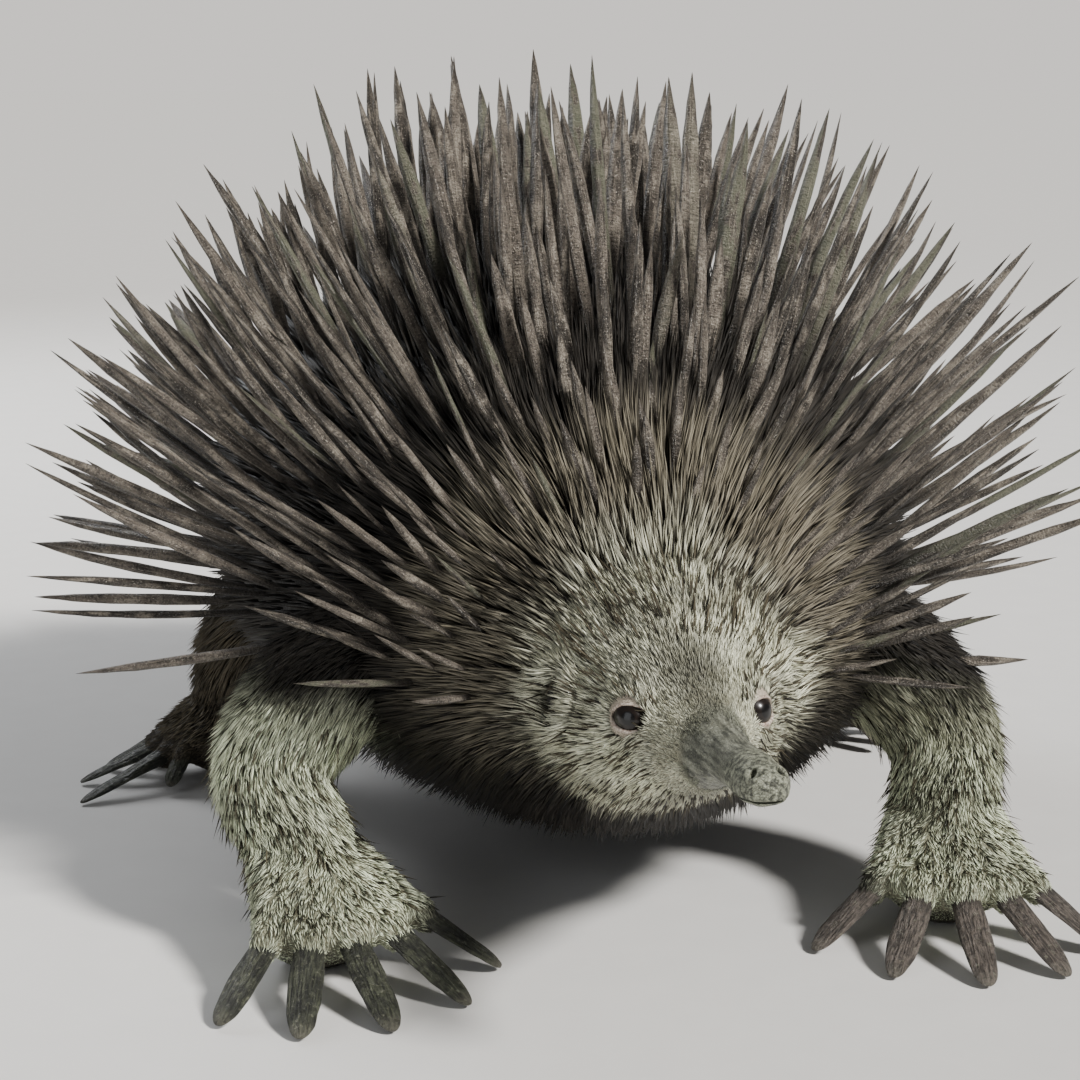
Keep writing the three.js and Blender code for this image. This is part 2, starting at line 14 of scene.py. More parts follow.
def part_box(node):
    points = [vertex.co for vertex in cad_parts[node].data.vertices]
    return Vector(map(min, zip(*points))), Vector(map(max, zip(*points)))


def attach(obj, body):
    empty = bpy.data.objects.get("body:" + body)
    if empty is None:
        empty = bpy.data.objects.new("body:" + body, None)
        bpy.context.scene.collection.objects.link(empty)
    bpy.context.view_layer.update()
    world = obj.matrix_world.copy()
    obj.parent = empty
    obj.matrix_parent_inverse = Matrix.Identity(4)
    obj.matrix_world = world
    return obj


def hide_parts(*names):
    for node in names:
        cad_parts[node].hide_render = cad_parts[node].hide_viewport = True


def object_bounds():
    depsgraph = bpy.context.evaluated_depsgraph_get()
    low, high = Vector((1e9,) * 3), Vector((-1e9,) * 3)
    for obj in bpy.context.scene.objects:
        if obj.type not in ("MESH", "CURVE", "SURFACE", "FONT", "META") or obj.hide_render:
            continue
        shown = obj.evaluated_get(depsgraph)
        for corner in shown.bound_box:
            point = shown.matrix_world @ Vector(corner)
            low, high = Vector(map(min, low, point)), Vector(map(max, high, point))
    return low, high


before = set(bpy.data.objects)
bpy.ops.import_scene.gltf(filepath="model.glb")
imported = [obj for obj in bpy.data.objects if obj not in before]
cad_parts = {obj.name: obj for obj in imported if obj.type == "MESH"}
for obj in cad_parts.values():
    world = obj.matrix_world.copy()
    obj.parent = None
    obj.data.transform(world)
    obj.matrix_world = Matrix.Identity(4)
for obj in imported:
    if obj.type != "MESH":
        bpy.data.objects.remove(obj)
cad_low, cad_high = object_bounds()

MM = 1000
TURN = 2 * math.pi
UP = np.array([0, 0, 1])

# Outline of head and body, from the tip of the beak to the rump:
# place along Y, half width, height of the top line, height of the under line
OUTLINE = np.array(
    [
        [-201, 1.2, 81.5, 78.9],
        [-199.5, 4.3, 84.0, 76.8],
        [-195, 6.3, 85.9, 75.5],
        [-186, 6.4, 85.8, 74.8],
        [-174, 6.3, 84.6, 73.4],
        [-161, 7.6, 84.4, 69.4],
        [-150, 10.0, 86.0, 64.8],
        [-141, 15.0, 90.0, 60.8],
        [-130, 22.0, 96.5, 56.2],
        [-113, 31.0, 106.5, 49.5],
        [-96, 41.0, 118.0, 43.0],
        [-76, 56.0, 133.0, 36.0],
        [-45, 78.0, 153.0, 30.0],
        [0, 96.0, 169.0, 27.0],
        [50, 102.0, 175.0, 26.0],
        [100, 99.0, 172.0, 27.0],
        [145, 86.0, 157.0, 31.0],
        [180, 64.0, 132.0, 40.0],
        [203, 38.0, 105.0, 53.0],
        [215, 12.0, 85.0, 67.0],
    ]
)
HALF, TOP, LOW = 1, 2, 3
FRONT_Y, REAR_Y = OUTLINE[0, 0], OUTLINE[-1, 0]
WIDEST_AT = 0.45
SQUARE_HEAD, SQUARE_TRUNK = 2.0, 2.3
HEAD_END_Y, NECK_END_Y = -100, -52

# Eyes, ears, nostrils and mouth
EYE_Y, EYE_ANGLE, EYE_RADIUS, EYE_SUNK = -135, 70, 5.5, 3.7
EYE_AHEAD = 0.62
LID_ALONG, LID_ACROSS = 5.2, 3.45
EAR_Y, EAR_ANGLE, EAR_DEPTH = -112, 82, 2.5
NOSTRIL_Y, NOSTRIL_ANGLE = -197.6, 36
MOUTH_Z, MOUTH_LENGTH = 77.9, 12

# Limbs of the left side, from shoulder or hip to the sole
LIMBS = {
    "fore": {
        "path": [[50, -34, 84], [76, -42, 70], [93, -54, 48], [91, -70, 28], [88, -80, 15]],
        "radii": [22, 21, 18.5, 17, 17],
        "coat": 3.0,
        "wrist": 20,
        "paw": {"x": 88, "y": -86, "half": 24, "length": 21, "height": 34},
        "toes": [60, 27, 0, -25, -52],
        "reach": (30, 23),
        "knuckle": 13,
        "toe_radius": [4.6, 5.1, 5.2, 5.1, 4.7],
        "claws": [22, 26, 28, 27, 23],
        "claw_half": 4.8,
        "turn": {"right": 14, "left": 8},
        "splay": {-1: 6, 1: 3},
    },
    "hind": {
        "path": [[48, 96, 84], [74, 98, 64], [92, 100, 44], [100, 101, 26], [104, 101, 13]],
        "radii": [30, 27, 21, 16.5, 15],
        "coat": 3.0,
        "wrist": 18,
        "paw": {"x": 110, "y": 101, "half": 19, "length": 21, "height": 28},
        "toes": [52, 28, 4, -18, -40],
        "reach": (23, 21),
        "knuckle": 9,
        "toe_radius": [3.6, 4.8, 4.5, 4.2, 3.8],
        "claws": [9, 33, 25, 17, 13],
        "claw_half": 3.5,
        "turn": {"right": -84, "left": -84},
        "splay": {-1: 0, 1: 0},
    },
}
SIDES = {"right": -1, "left": 1}
# Limb and side of each leg, in the order in which legs are numbered
LEGS = [(limb, side) for limb in LIMBS for side in SIDES]
# How much of the splay each inner joint of a leg takes
SPLAY_SHARES = np.array([0.6, 1, 0.3])
TAIL = {"root": (0, 196, 80), "tip": (0, 238, 62), "root_radius": 21, "tip_radius": 5.5}
CLAW_THICK, CLAW_BEND, CLAW_ROOT, CLAW_CLEAR = 2.0, 1.6, 4, 0.9
# A claw slopes as if it were at least this many knuckle heights long
CLAW_SHORTEST = 1.4

# The design's middle line and beak tip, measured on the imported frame
eye_middles = [sum(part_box(f"eye_{side}"), Vector()) / 2 for side in SIDES]
SHIFT = np.array(
    [MM * (eye_middles[0].x + eye_middles[1].x) / 2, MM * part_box("beak")[0].y - FRONT_Y, 0]
)
rng = np.random.default_rng(11)


def place(points):
    """Design millimetres to frame metres."""
    return (np.asarray(points, float) + SHIFT) / MM


def unit(vectors):
    """Vectors at length one."""
    return vectors / np.maximum(np.linalg.norm(vectors, axis=-1, keepdims=True), 1e-9)


def circle(count):
    """Angles spread evenly round a circle."""
    return np.linspace(0, TURN, count, endpoint=False)


def distance(points, spot):
    """How far points lie from a spot."""
    return np.linalg.norm(points - spot, axis=-1)


def smooth(value, low, high):
    """A soft step from 0 at low to 1 at high."""
    t = np.clip((value - low) / (high - low), 0, 1)
    return t * t * (3 - 2 * t)


def between(rows, column, at):
    """A smooth value between rows of a table that never swings past them."""
    step = np.diff(rows[:, 0])
    slope = np.diff(rows[:, column]) / step
    before, after = slope[:-1], slope[1:]
    turning = before * after <= 0
    total = np.where(turning, 1, before + after)
    inner = np.where(turning, 0, 2 * before * after / total)
    tangent = np.concatenate([slope[:1], inner, slope[-1:]])
    i = np.clip(np.searchsorted(rows[:, 0], at, side="right") - 1, 0, len(step) - 1)
    t = np.clip((at - rows[i, 0]) / step[i], 0, 1)
    rise = t * t * (3 - 2 * t)
    level = rows[i, column] + (rows[i + 1, column] - rows[i, column]) * rise
    start = tangent[i] * step[i] * t * (1 - t) ** 2
    end = tangent[i + 1] * step[i] * t * t * (1 - t)
    return level + start - end


def section(y):
    """Half width, height of the widest place, rise above it, drop below it, and squareness."""
    half = between(OUTLINE, HALF, y)
    top = between(OUTLINE, TOP, y)
    low = between(OUTLINE, LOW, y)
    wide = low + (top - low) * WIDEST_AT
    square = SQUARE_HEAD + (SQUARE_TRUNK - SQUARE_HEAD) * smooth(y, HEAD_END_Y, 0)
    return half, wide, top - wide, wide - low, square


def body_point(y, angle):
    """A point of the body's surface: angle 0 is the top line, 90 degrees the left side."""
    y, angle = np.broadcast_arrays(np.asarray(y, float), np.asarray(angle, float))
    half, wide, rise, drop, square = section(y)
    power = 2 / square
    s, c = np.sin(angle), np.cos(angle)
    x = half * np.sign(s) * np.abs(s) ** power
    up = np.where(c > 0, rise, drop)
    return np.stack([x, y, wide + up * np.sign(c) * np.abs(c) ** power], -1)


def body_normal(y, angle):
    """The way the body's surface faces at a point."""
    length = body_point(y + 1, angle) - body_point(y - 1, angle)
    around = body_point(y, angle + 0.01) - body_point(y, angle - 0.01)
    return unit(np.cross(around, length))


def on_head(y, degrees, side):
    """A place on one side of the head, and the way it faces."""
    angle = side * math.radians(degrees)
    return body_point(y, angle), body_normal(y, angle)


def body_angle(points):
    """The angle from the top line at which a point lies round the body."""
    half, wide, rise, drop, square = section(points[:, 1])
    lift = points[:, 2] - wide
    across = np.abs(points[:, 0] / half) ** (square / 2) * np.sign(points[:, 0])
    upward = np.abs(lift / np.where(lift > 0, rise, drop)) ** (square / 2) * np.sign(lift)
    return np.arctan2(across, upward)


def body_depth(points):
    """How far out of the body a point lies: 1 is on its surface."""
    half, wide, rise, drop, square = section(points[:, 1])
    lift = points[:, 2] - wide
    across = np.abs(points[:, 0] / half) ** square
    upward = np.abs(lift / np.where(lift > 0, rise, drop)) ** square
    return (across + upward) ** (1 / square)


def along_path(points, t):
    """Places on a smooth curve through points, with t from 0 to 1."""
    points = np.asarray(points, float)
    count = len(points) - 1
    far = np.clip(t, 0, 1) * count
    i = np.minimum(far.astype(int), count - 1)
    u = (far - i)[:, None]
    p = np.vstack([2 * points[0] - points[1], points, 2 * points[-1] - points[-2]])
    a, b, c, d = p[i], p[i + 1], p[i + 2], p[i + 3]
    bend = (2 * a - 5 * b + 4 * c - d) * u**2 + (3 * b - a - 3 * c + d) * u**3
    return 0.5 * (2 * b + (c - a) * u + bend)


def radius_at(radii, t):
    """A limb's radius at shares of its length, from radii spread evenly along it."""
    return np.interp(t, np.linspace(0, 1, len(radii)), radii)


def limb_points(limb, side):
    """The joints of a limb on one side, its elbow or knee splayed outwards."""
    points = np.array(limb["path"], float)
    points[1:4, 0] += limb["splay"][side] * SPLAY_SHARES
    return points * [side, 1, 1]


def heading(side, degrees):
    """A level direction, turned inwards from straight ahead."""
    turn = math.radians(degrees)
    return np.array([-side * math.sin(turn), -math.cos(turn), 0])


def toes_of(limb, side_name):
    """Where each toe of a foot ends, and the way its claw points."""
    side, turn = SIDES[side_name], limb["turn"][side_name]
    paw = limb["paw"]
    center = np.array([side * paw["x"], paw["y"], limb["knuckle"]])
    across, ahead = limb["reach"]
    toes = []
    for spread, claw in zip(limb["toes"], limb["claws"]):
        drop = limb["knuckle"] - CLAW_CLEAR - CLAW_BEND
        slope = math.asin(drop / max(claw, limb["knuckle"] * CLAW_SHORTEST))
        down = heading(side, turn + spread) * math.cos(slope)
        down[2] = -math.sin(slope)
        knuckle = center + heading(side, turn) * ahead * math.cos(math.radians(spread))
        knuckle = knuckle + heading(side, turn + 90) * across * math.sin(math.radians(spread))
        toes.append({"center": center, "knuckle": knuckle, "down": down})
    return toes


# Meshes

DOME_STEPS, DOME_FROM = 6, 0.15
# A direction that no limb points along
ASIDE = [0.13, 0.31, 0.94]


def grid_faces(rings, sides):
    """Quads between rings of points, with a fan at each end round its own middle point."""
    faces = []
    for ring in range(rings - 1):
        for i in range(sides):
            a, b = ring * sides + i, ring * sides + (i + 1) % sides
            faces.append((a, b, b + sides, a + sides))
    first, last = rings * sides, rings * sides + 1
    for i in range(sides):
        j = (i + 1) % sides
        faces.append((first, j, i))
        faces.append((last, (rings - 1) * sides + i, (rings - 1) * sides + j))
    return faces


def loft(rows):
    """Points and faces of a closed body through rows of points of equal length."""
    rows = np.asarray(rows)
    points = np.vstack([rows.reshape(-1, 3), rows[0].mean(0), rows[-1].mean(0)])
    return points, grid_faces(len(rows), rows.shape[1])


def tube(points, radii, sides=28, steps=40):
    """A round limb with domed ends, through points with radii spread evenly along them."""
    t = np.linspace(0, 1, steps)
    path, radius = along_path(points, t), radius_at(radii, t)
    ahead = unit(np.gradient(path, axis=0))
    rise = np.linspace(DOME_FROM, math.pi / 2, DOME_STEPS)
    dome = list(zip(np.cos(rise), np.sin(rise)))
    rows = [(path[0] - ahead[0] * radius[0] * c, ahead[0], radius[0] * s) for c, s in dome]
    rows += list(zip(path[1:-1], ahead[1:-1], radius[1:-1]))
    rows += [(path[-1] + ahead[-1] * radius[-1] * c, ahead[-1], radius[-1] * s) for c, s in dome[::-1]]
    around = circle(sides)[:, None]
    rings = []
    for center, way, size in rows:
        level = unit(np.cross(ASIDE, way))
        rings.append(center + size * (level * np.cos(around) + np.cross(way, level) * np.sin(around)))
    return loft(rings)


def new_object(name, data):
    """An object in the scene for a mesh, camera or light."""
    made = bpy.data.objects.new(name, data)
    bpy.context.scene.collection.objects.link(made)
    return made


def smoothed(made):
    """Shades an object softly."""
    made.data.polygons.foreach_set("use_smooth", np.ones(len(made.data.polygons), bool))
    return made


def set_values(mesh, name, values):
    """Stores a number or a vector for each vertex, which a material reads by name."""
    vectors = values.ndim > 1
    slot = mesh.attributes.new(name, "FLOAT_VECTOR" if vectors else "FLOAT", "POINT")
    slot.data.foreach_set("vector" if vectors else "value", values.ravel())


def polygon_object(name, shells):
    """One object from closed shells given as points in millimetres and faces."""
    vertices, faces, start = [], [], 0
    for points, shell_faces in shells:
        vertices.append(place(points))
        faces += [tuple(start + i for i in face) for face in shell_faces]
        start += len(points)
    mesh = bpy.data.meshes.new(name)
    mesh.from_pydata(np.vstack(vertices).tolist(), [], faces)
    mesh.validate()
    return new_object(name, mesh)


def modified(made, kind, **settings):
    """Adds a modifier and puts what it does into the mesh."""
    modifier = made.modifiers.new(kind.lower(), kind)
    for key, value in settings.items():
        setattr(modifier, key, value)
    graph = bpy.context.evaluated_depsgraph_get()
    mesh = bpy.data.meshes.new_from_object(made.evaluated_get(graph))
    made.modifiers.clear()
    made.data = mesh
    return made


def combine(made, others, operation):
    """Joins other closed objects to one, or cuts them from it, and removes them."""
    for other in others:
        made = modified(made, "BOOLEAN", object=other, operation=operation, solver="MANIFOLD")
        bpy.data.objects.remove(other)
    return made


# Skin

# Gap between the body's rings at places along Y
RING_GAPS = np.array(
    [
        [-201, 0.25], [-192, 0.5], [-150, 0.7], [-100, 1.0],
        [-52, 2.4], [150, 3.6], [206, 2.0], [215, 0.7],
    ]
)
BODY_SIDES = 176
# How deep the skin lies under the coat, how much less near the eyes, and how deep everywhere
COAT_DEPTH, EYE_CLEARING, EYE_REACH, SKIN_EASE = 1.3, 0.85, 9, 0.15
POLE_EASE, BEAK_EASE = 0.3, 0.05
LID_THICK, LID_SOFT = 0.3, 1.0

# Ridges round an eye, an ear and a nostril: height, distance of the crest, width.
# Round the ear both are shares of its size.
EYE_RIDGE, EAR_RIDGE, NOSTRIL_RIDGE = (0.5, 6.2, 1.6), (2.1, 1, 0.3), (0.45, 1.8, 0.7)
EAR_SIZE = [9, 5.6, 8.6]
# Swellings above and behind an eye: place from its centre, height, reach
EYE_SWELLINGS = (([0, 3, 6.5], 0.9, 5), ([0, 5.5, -0.5], 1.5, 4))
CHEEK_Y, CHEEK_LENGTH, CHEEK_ANGLE, CHEEK_WIDTH, CHEEK_HEIGHT = -122, 9, 2.1, 0.5, 1.2
WRINKLE_HEIGHT, LIP_HEIGHT, LIP_WIDTH, KNOB_HEIGHT, FOLD_HEIGHT = 0.14, 0.22, 1.1, 0.12, 1.1

# Size of a paw's rings, from the sole to its joint with the leg:
# share of the height, share of the width
PAW_RINGS = np.array(
    [
        [0, 0.36], [0.05, 0.46], [0.12, 0.56], [0.22, 0.7], [0.33, 0.84],
        [0.45, 0.84], [0.6, 0.77], [0.8, 0.68], [1, 0.6],
    ]
)
PAW_SIDES, PAW_CLEAR, SOLE_BACK = 40, 0.4, 7
# The knuckle's joint lies this share of the reach behind the knuckle, and the web a little more.
# Toe and foot bone start at shares of the way to the knuckle; sizes are shares of the toe's radius.
KNUCKLE_BACK, WEB_BACK, TOE_START, BONE_START, BONE_DROP = 0.35, 1.1, 0.25, 0.35, 3
TOE_FOLD, TOE_SIZES, BONE_SIZE, KNOB_RISE, KNOB_SIZE = 0.55, (0.9, 1, 0.84), 0.48, 0.3, 0.86
PAD_BACK, PAD_CLEAR, PAD_WIDE = 0.2, 0.5, 1.05
VOXEL, SMOOTHINGS, KEPT_SHARE = 0.0009, 9, 0.42

# Openings: how much wider the lids are cut than drawn and how deep, the room round the eyeball,
# and the half sizes of an ear, a nostril and the mouth
LID_ROOM, LID_CUT_DEPTH, EYE_ROOM = 0.2, 2.2, 0.15
EAR_CUT, EAR_CUT_SUNK, NOSTRIL_CUT, MOUTH_CUT = [2.0, 6.2, 9], 2, [0.85, 1.35, 2], [20, 0.32]


def eye_place(side):
    """Centre of an eye and the way it looks."""
    surface, normal = on_head(EYE_Y, EYE_ANGLE, side)
    return surface - EYE_SUNK * normal, unit(normal + [0, -EYE_AHEAD, 0])


def turn_to(direction):
    """Axes with their last one along a direction and their first one level."""
    z = unit(np.asarray(direction, float))
    x = unit(np.cross(UP, z))
    return np.stack([x, np.cross(z, x), z], 1)


def globe(rows, sides):
    """Rings of a round shell of radius one, from one pole to the other along Z."""
    rise = np.linspace(-math.pi / 2, math.pi / 2, rows)[1:-1, None]
    around = circle(sides)[None, :]
    level = np.cos(rise)
    return np.stack([level * np.cos(around), level * np.sin(around), np.sin(rise) + 0 * around], -1)


def ball(center, radii, direction, sides=48):
    """An egg-shaped shell whose last radius lies along a direction."""
    return loft(center + globe(sides // 2, sides) * radii @ turn_to(direction).T)


def ridge(away, height, crest, width):
    """A round ridge, by distance from its middle."""
    return height * np.exp(-(((away - crest) / width) ** 2))


def relief(points, y, angle):
    """Folds and swellings of the skin, in millimetres outwards."""
    out = np.zeros(y.shape)
    for side in SIDES.values():
        eye, _ = eye_place(side)
        out += ridge(distance(points, eye), *EYE_RIDGE)
        for spot, height, reach in EYE_SWELLINGS:
            out += ridge(distance(points - eye, spot), height, 0, reach)
        ear, _ = on_head(EAR_Y, EAR_ANGLE, side)
        out += ridge(distance((points - ear) / EAR_SIZE, 0), *EAR_RIDGE)
        nostril, _ = on_head(NOSTRIL_Y, NOSTRIL_ANGLE, side)
        out += ridge(distance(points, nostril), *NOSTRIL_RIDGE)
    along, around = (y - CHEEK_Y) / CHEEK_LENGTH, (np.abs(angle) - CHEEK_ANGLE) / CHEEK_WIDTH
    out += CHEEK_HEIGHT * np.exp(-(along**2) - (around**2))
    # Wrinkles on top of the beak's root, lips, knobs all over the beak, and folds of the trunk
    crease = smooth(y, -172, -160) * (1 - smooth(y, -148, -140))
    wrinkle = WRINKLE_HEIGHT * crease * np.sin(y * 2.4 + 0.8 * np.cos(angle))
    out += wrinkle * (np.cos(angle) > -0.6)
    lips = ridge(points[..., 2], 1, MOUTH_Z, LIP_WIDTH) * (1 - smooth(y, -190, -184))
    out += LIP_HEIGHT * lips
    knobs = KNOB_HEIGHT * (1 - smooth(y, -150, -140)) * np.sin(5 * angle + 0.35 * y)
    out += knobs * np.sin(0.8 * y)
    folds = smooth(y, -90, -20) * FOLD_HEIGHT * np.sin(0.09 * y + 2.0 * np.cos(2 * angle))
    out += folds * np.sin(3 * angle + 0.03 * y)
    return out


def body_shell():
    """Head and body in one closed shell, finest on the beak and face."""
    places = [FRONT_Y]
    while places[-1] < REAR_Y:
        places.append(places[-1] + np.interp(places[-1], RING_GAPS[:, 0], RING_GAPS[:, 1]))
    places[-1] = REAR_Y
    y, angle = np.meshgrid(places, circle(BODY_SIDES), indexing="ij")
    angle = np.where(angle > math.pi, angle - TURN, angle)
    points = body_point(y, angle)
    inner = y.copy()
    inner[0] += POLE_EASE
    inner[-1] -= POLE_EASE
    eyes = [eye_place(side)[0] for side in SIDES.values()]
    coat = COAT_DEPTH * smooth(y, -152, -128)
    for eye in eyes:
        coat = coat * (1 - EYE_CLEARING * np.exp(-((distance(points, eye) / EYE_REACH) ** 4)))
    out = relief(points, y, angle) - coat - SKIN_EASE
    points = points + body_normal(inner, angle) * out[..., None]
    # The skin is pushed out to a lid's thickness over each eyeball
    for eye in eyes:
        away = distance(points, eye)
        over = away - EYE_RADIUS - LID_THICK
        out = EYE_RADIUS + LID_THICK + (over + np.sqrt(over**2 + LID_SOFT**2)) / 2
        points = eye + (points - eye) * (out / away)[..., None]
    points[..., 1] = np.maximum(points[..., 1], FRONT_Y + BEAK_EASE)
    return loft(points)


def paw_shell(limb, side_name):
    """The broad pad of a foot, drawn back under the leg as it rises."""
    side, paw = SIDES[side_name], limb["paw"]
    around = circle(PAW_SIDES)
    ahead = heading(side, limb["turn"][side_name])
    across = np.cross(UP, ahead)
    rim = np.outer(np.sin(around) * paw["half"], across)
    rim = rim + np.outer(np.cos(around) * paw["length"], ahead)
    leg = along_path(limb_points(limb, side), np.linspace(0.4, 1, 60))[::-1]
    rows = []
    for share in np.concatenate([[0, 0.02], np.linspace(0.05, 1, 18)]):
        size = between(PAW_RINGS, 1, np.array([share]))[0]
        center = np.array([side * paw["x"], paw["y"], PAW_CLEAR + share * paw["height"]])
        over = np.array([np.interp(center[2], leg[:, 2], leg[:, axis]) for axis in (0, 1)])
        center -= ahead * SOLE_BACK * (1 - smooth(share, 0.05, 0.4))
        center[:2] += smooth(share, 0.2, 0.95) * (over - center[:2])
        rows.append(center + rim * size)
    return loft(rows)


def toe_shells(limb, toe, radius, wrist):
    """A toe, the foot bone that leads to it, its knuckle and the pad under it."""
    center, knuckle, down = toe["center"], toe["knuckle"], toe["down"]
    start = center + TOE_START * (knuckle - center)
    joint = knuckle - down * (KNUCKLE_BACK * limb["reach"][1])
    fold = knuckle - down * (TOE_FOLD * radius)
    root = wrist + BONE_START * (knuckle - center) - [0, 0, BONE_DROP]
    pad = knuckle + PAD_BACK * (center - knuckle)
    pad[2] = radius + PAD_CLEAR
    return [
        tube([start, joint, fold], [radius * size for size in TOE_SIZES], 20, 16),
        tube([root, joint], [BONE_SIZE * limb["radii"][-2], radius], 20, 12),
        ball(joint + [0, 0, radius * KNOB_RISE], [radius * KNOB_SIZE] * 3, UP, 20),
        ball(pad, [radius * PAD_WIDE, radius * PAD_WIDE, radius], UP, 20),
    ]


def limb_object(limb_name, side_name):
    """Leg, foot and toes blended into one closed form."""
    limb = LIMBS[limb_name]
    joints = limb_points(limb, SIDES[side_name])
    toes = toes_of(limb, side_name)
    web_back = WEB_BACK * (KNUCKLE_BACK * limb["reach"][1])
    shells = [
        tube(joints, np.array(limb["radii"]) - limb["coat"]),
        paw_shell(limb, side_name),
        tube([toe["knuckle"] - toe["down"] * web_back for toe in toes], limb["toe_radius"], 20, 48),
    ]
    for toe, radius in zip(toes, limb["toe_radius"]):
        shells += toe_shells(limb, toe, radius, joints[-2])
    made = polygon_object(f"{limb_name}_{side_name}", shells)
    made = modified(made, "REMESH", mode="VOXEL", voxel_size=VOXEL)
    made = modified(made, "SMOOTH", factor=0.5, iterations=SMOOTHINGS)
    return modified(made, "DECIMATE", ratio=KEPT_SHARE)


def head_openings(side):
    """Shapes that cut the lids' opening, eye socket, ear and nostril of one side."""
    eye, look = eye_place(side)
    opening = [LID_ALONG + LID_ROOM, LID_ACROSS + LID_ROOM, LID_CUT_DEPTH * EYE_RADIUS]
    ear, ear_out = on_head(EAR_Y, EAR_ANGLE, side)
    nostril, nostril_out = on_head(NOSTRIL_Y, NOSTRIL_ANGLE, side)
    return [
        polygon_object("lid_cut", [ball(eye + look * EYE_RADIUS, opening, look)]),
        polygon_object("socket_cut", [ball(eye, [EYE_RADIUS + EYE_ROOM] * 3, look)]),
        polygon_object("ear_cut", [ball(ear - EAR_CUT_SUNK * ear_out, EAR_CUT, ear_out)]),
        polygon_object("nostril_cut", [ball(nostril, NOSTRIL_CUT, nostril_out, 24)]),
    ]


def make_skin():
    """One skin over beak, head, trunk, tail, legs and feet."""
    skin = polygon_object("skin", [body_shell()])
    tail = tube([TAIL["root"], TAIL["tip"]], [TAIL["root_radius"], TAIL["tip_radius"]], 40, 24)
    forms = [polygon_object("tail_form", [tail])]
    forms += [limb_object(limb_name, side_name) for limb_name, side_name in LEGS]
    skin = combine(skin, forms, "UNION")
    cuts = []
    for side in SIDES.values():
        cuts += head_openings(side)
    mouth = ball([0, FRONT_Y + 1, MOUTH_Z], [*MOUTH_CUT, MOUTH_LENGTH], [0, -1, 0], 64)
    cuts.append(polygon_object("mouth_cut", [mouth]))
    return smoothed(combine(skin, cuts, "DIFFERENCE"))


# Coat

# A point belongs to a leg within this many of its radii, and to a foot up to this far above
# the wrist and this far from the paw's middle
LIMB_NEAR, FOOT_ABOVE, FOOT_WITHIN, LIMB_STEPS = 1.3, 13, 38, 60
# Size of a hair's and of a spine's patch on the map OFBake
HAIR_PATCH, SPINE_PATCH = 0.003, 0.008
HAIR_FLAT, HAIR_SUNK, SHORTEST_HAIR, BOX_ROOM = 0.75, 0.6, 0.4, 0.8
HAIR_STATIONS, HAIR_SIDES = [(0, 0.8), (0.45, 1.0)], 3
# Where belly fur, bristles on the cheeks and bristles on the brow start, and what stays bare
BELLY_FROM, CHEEK_FROM, BRISTLE_CHEEK_Y, BRISTLE_BROW_Y = 1.85, 0.8, -142, -126
BARE_BEAK_Y, BARE_SOLE_Z, BARE_EYE, BARE_EAR = -156, 2.2, 6.2, [9, 3.0, 6.4]
LEG_BRISTLES, CREST_STAND = 0.1, 1.2


class Surface:
    """Points spread over a skin, each with the way the skin faces there."""

    def __init__(self, skin):
        mesh = skin.data
        mesh.calc_loop_triangles()
        corners = np.zeros(len(mesh.loop_triangles) * 3, np.int32)
        mesh.loop_triangles.foreach_get("vertices", corners)
        points = np.zeros(len(mesh.vertices) * 3, np.float32)
        mesh.vertices.foreach_get("co", points)
        normals = np.zeros(len(mesh.vertices) * 3, np.float32)
        mesh.vertex_normals.foreach_get("vector", normals)
        self.corners = corners.reshape(-1, 3)
        self.points = points.reshape(-1, 3).astype(float) * MM - SHIFT
        self.normals = normals.reshape(-1, 3).astype(float)
        a, b, c = (self.points[self.corners[:, i]] for i in range(3))
        self.areas = np.linalg.norm(np.cross(b - a, c - a), axis=1) / 2
        self.middles = (a + b + c) / 3

    def spread(self, density):
        """Random points, with density(points) of them for each square millimetre."""
        wanted = self.areas * density(self.middles)
        count = np.floor(wanted + rng.random(len(wanted))).astype(int)
        chosen = np.repeat(np.arange(len(count)), count)
        u, v = rng.random(len(chosen)), rng.random(len(chosen))
        over = u + v > 1
        u, v = np.where(over, 1 - u, u), np.where(over, 1 - v, v)
        shares = np.stack([1 - u - v, u, v], 1)[..., None]
        corners = self.corners[chosen]
        points = (self.points[corners] * shares).sum(1)
        return points, unit((self.normals[corners] * shares).sum(1))


def nearest_on_limb(points, limb, side):
    """Distance to a limb's middle line as a share of its radius, and how far along it is."""
    t = np.linspace(0, 1, LIMB_STEPS)
    path = along_path(limb_points(limb, side), t)
    best, where = np.full(len(points), 1e9), np.zeros(len(points))
    for spot, radius, share in zip(path, radius_at(limb["radii"], t), t):
        away = distance(points, spot) / radius
        closer = away < best
        best[closer] = away[closer]
        where[closer] = share
    return best, where


def limb_share(points):
    """For each point: the number of the leg it belongs to, or -1, and how far down it is."""
    owner, where = np.full(len(points), -1), np.zeros(len(points))
    outside = body_depth(points) > 1.0
    for index, (limb_name, side_name) in enumerate(LEGS):
        limb, side = LIMBS[limb_name], SIDES[side_name]
        near, t = nearest_on_limb(points, limb, side)
        level = np.hypot(points[:, 0] - side * limb["paw"]["x"], points[:, 1] - limb["paw"]["y"])
        foot = (points[:, 2] < limb["wrist"] + FOOT_ABOVE) & (level < FOOT_WITHIN)
        hit = outside & ((near < LIMB_NEAR) | foot)
        owner[hit] = index
        where[hit] = np.where(foot[hit], 1.0, np.minimum(t[hit], 0.95))
    return owner, where


def waves(points, scale):
    """A smooth random direction field, for hair that doesn't lie too evenly."""
    turns = np.array([[1.0, 0.7, -0.4], [-0.6, 1.1, 0.5], [0.5, -0.3, 1.2]])
    phase = points @ turns.T / scale
    return np.sin(phase + np.roll(phase, 1, axis=1) * 0.7) * np.cos(np.roll(phase, 2, axis=1) * 0.9)


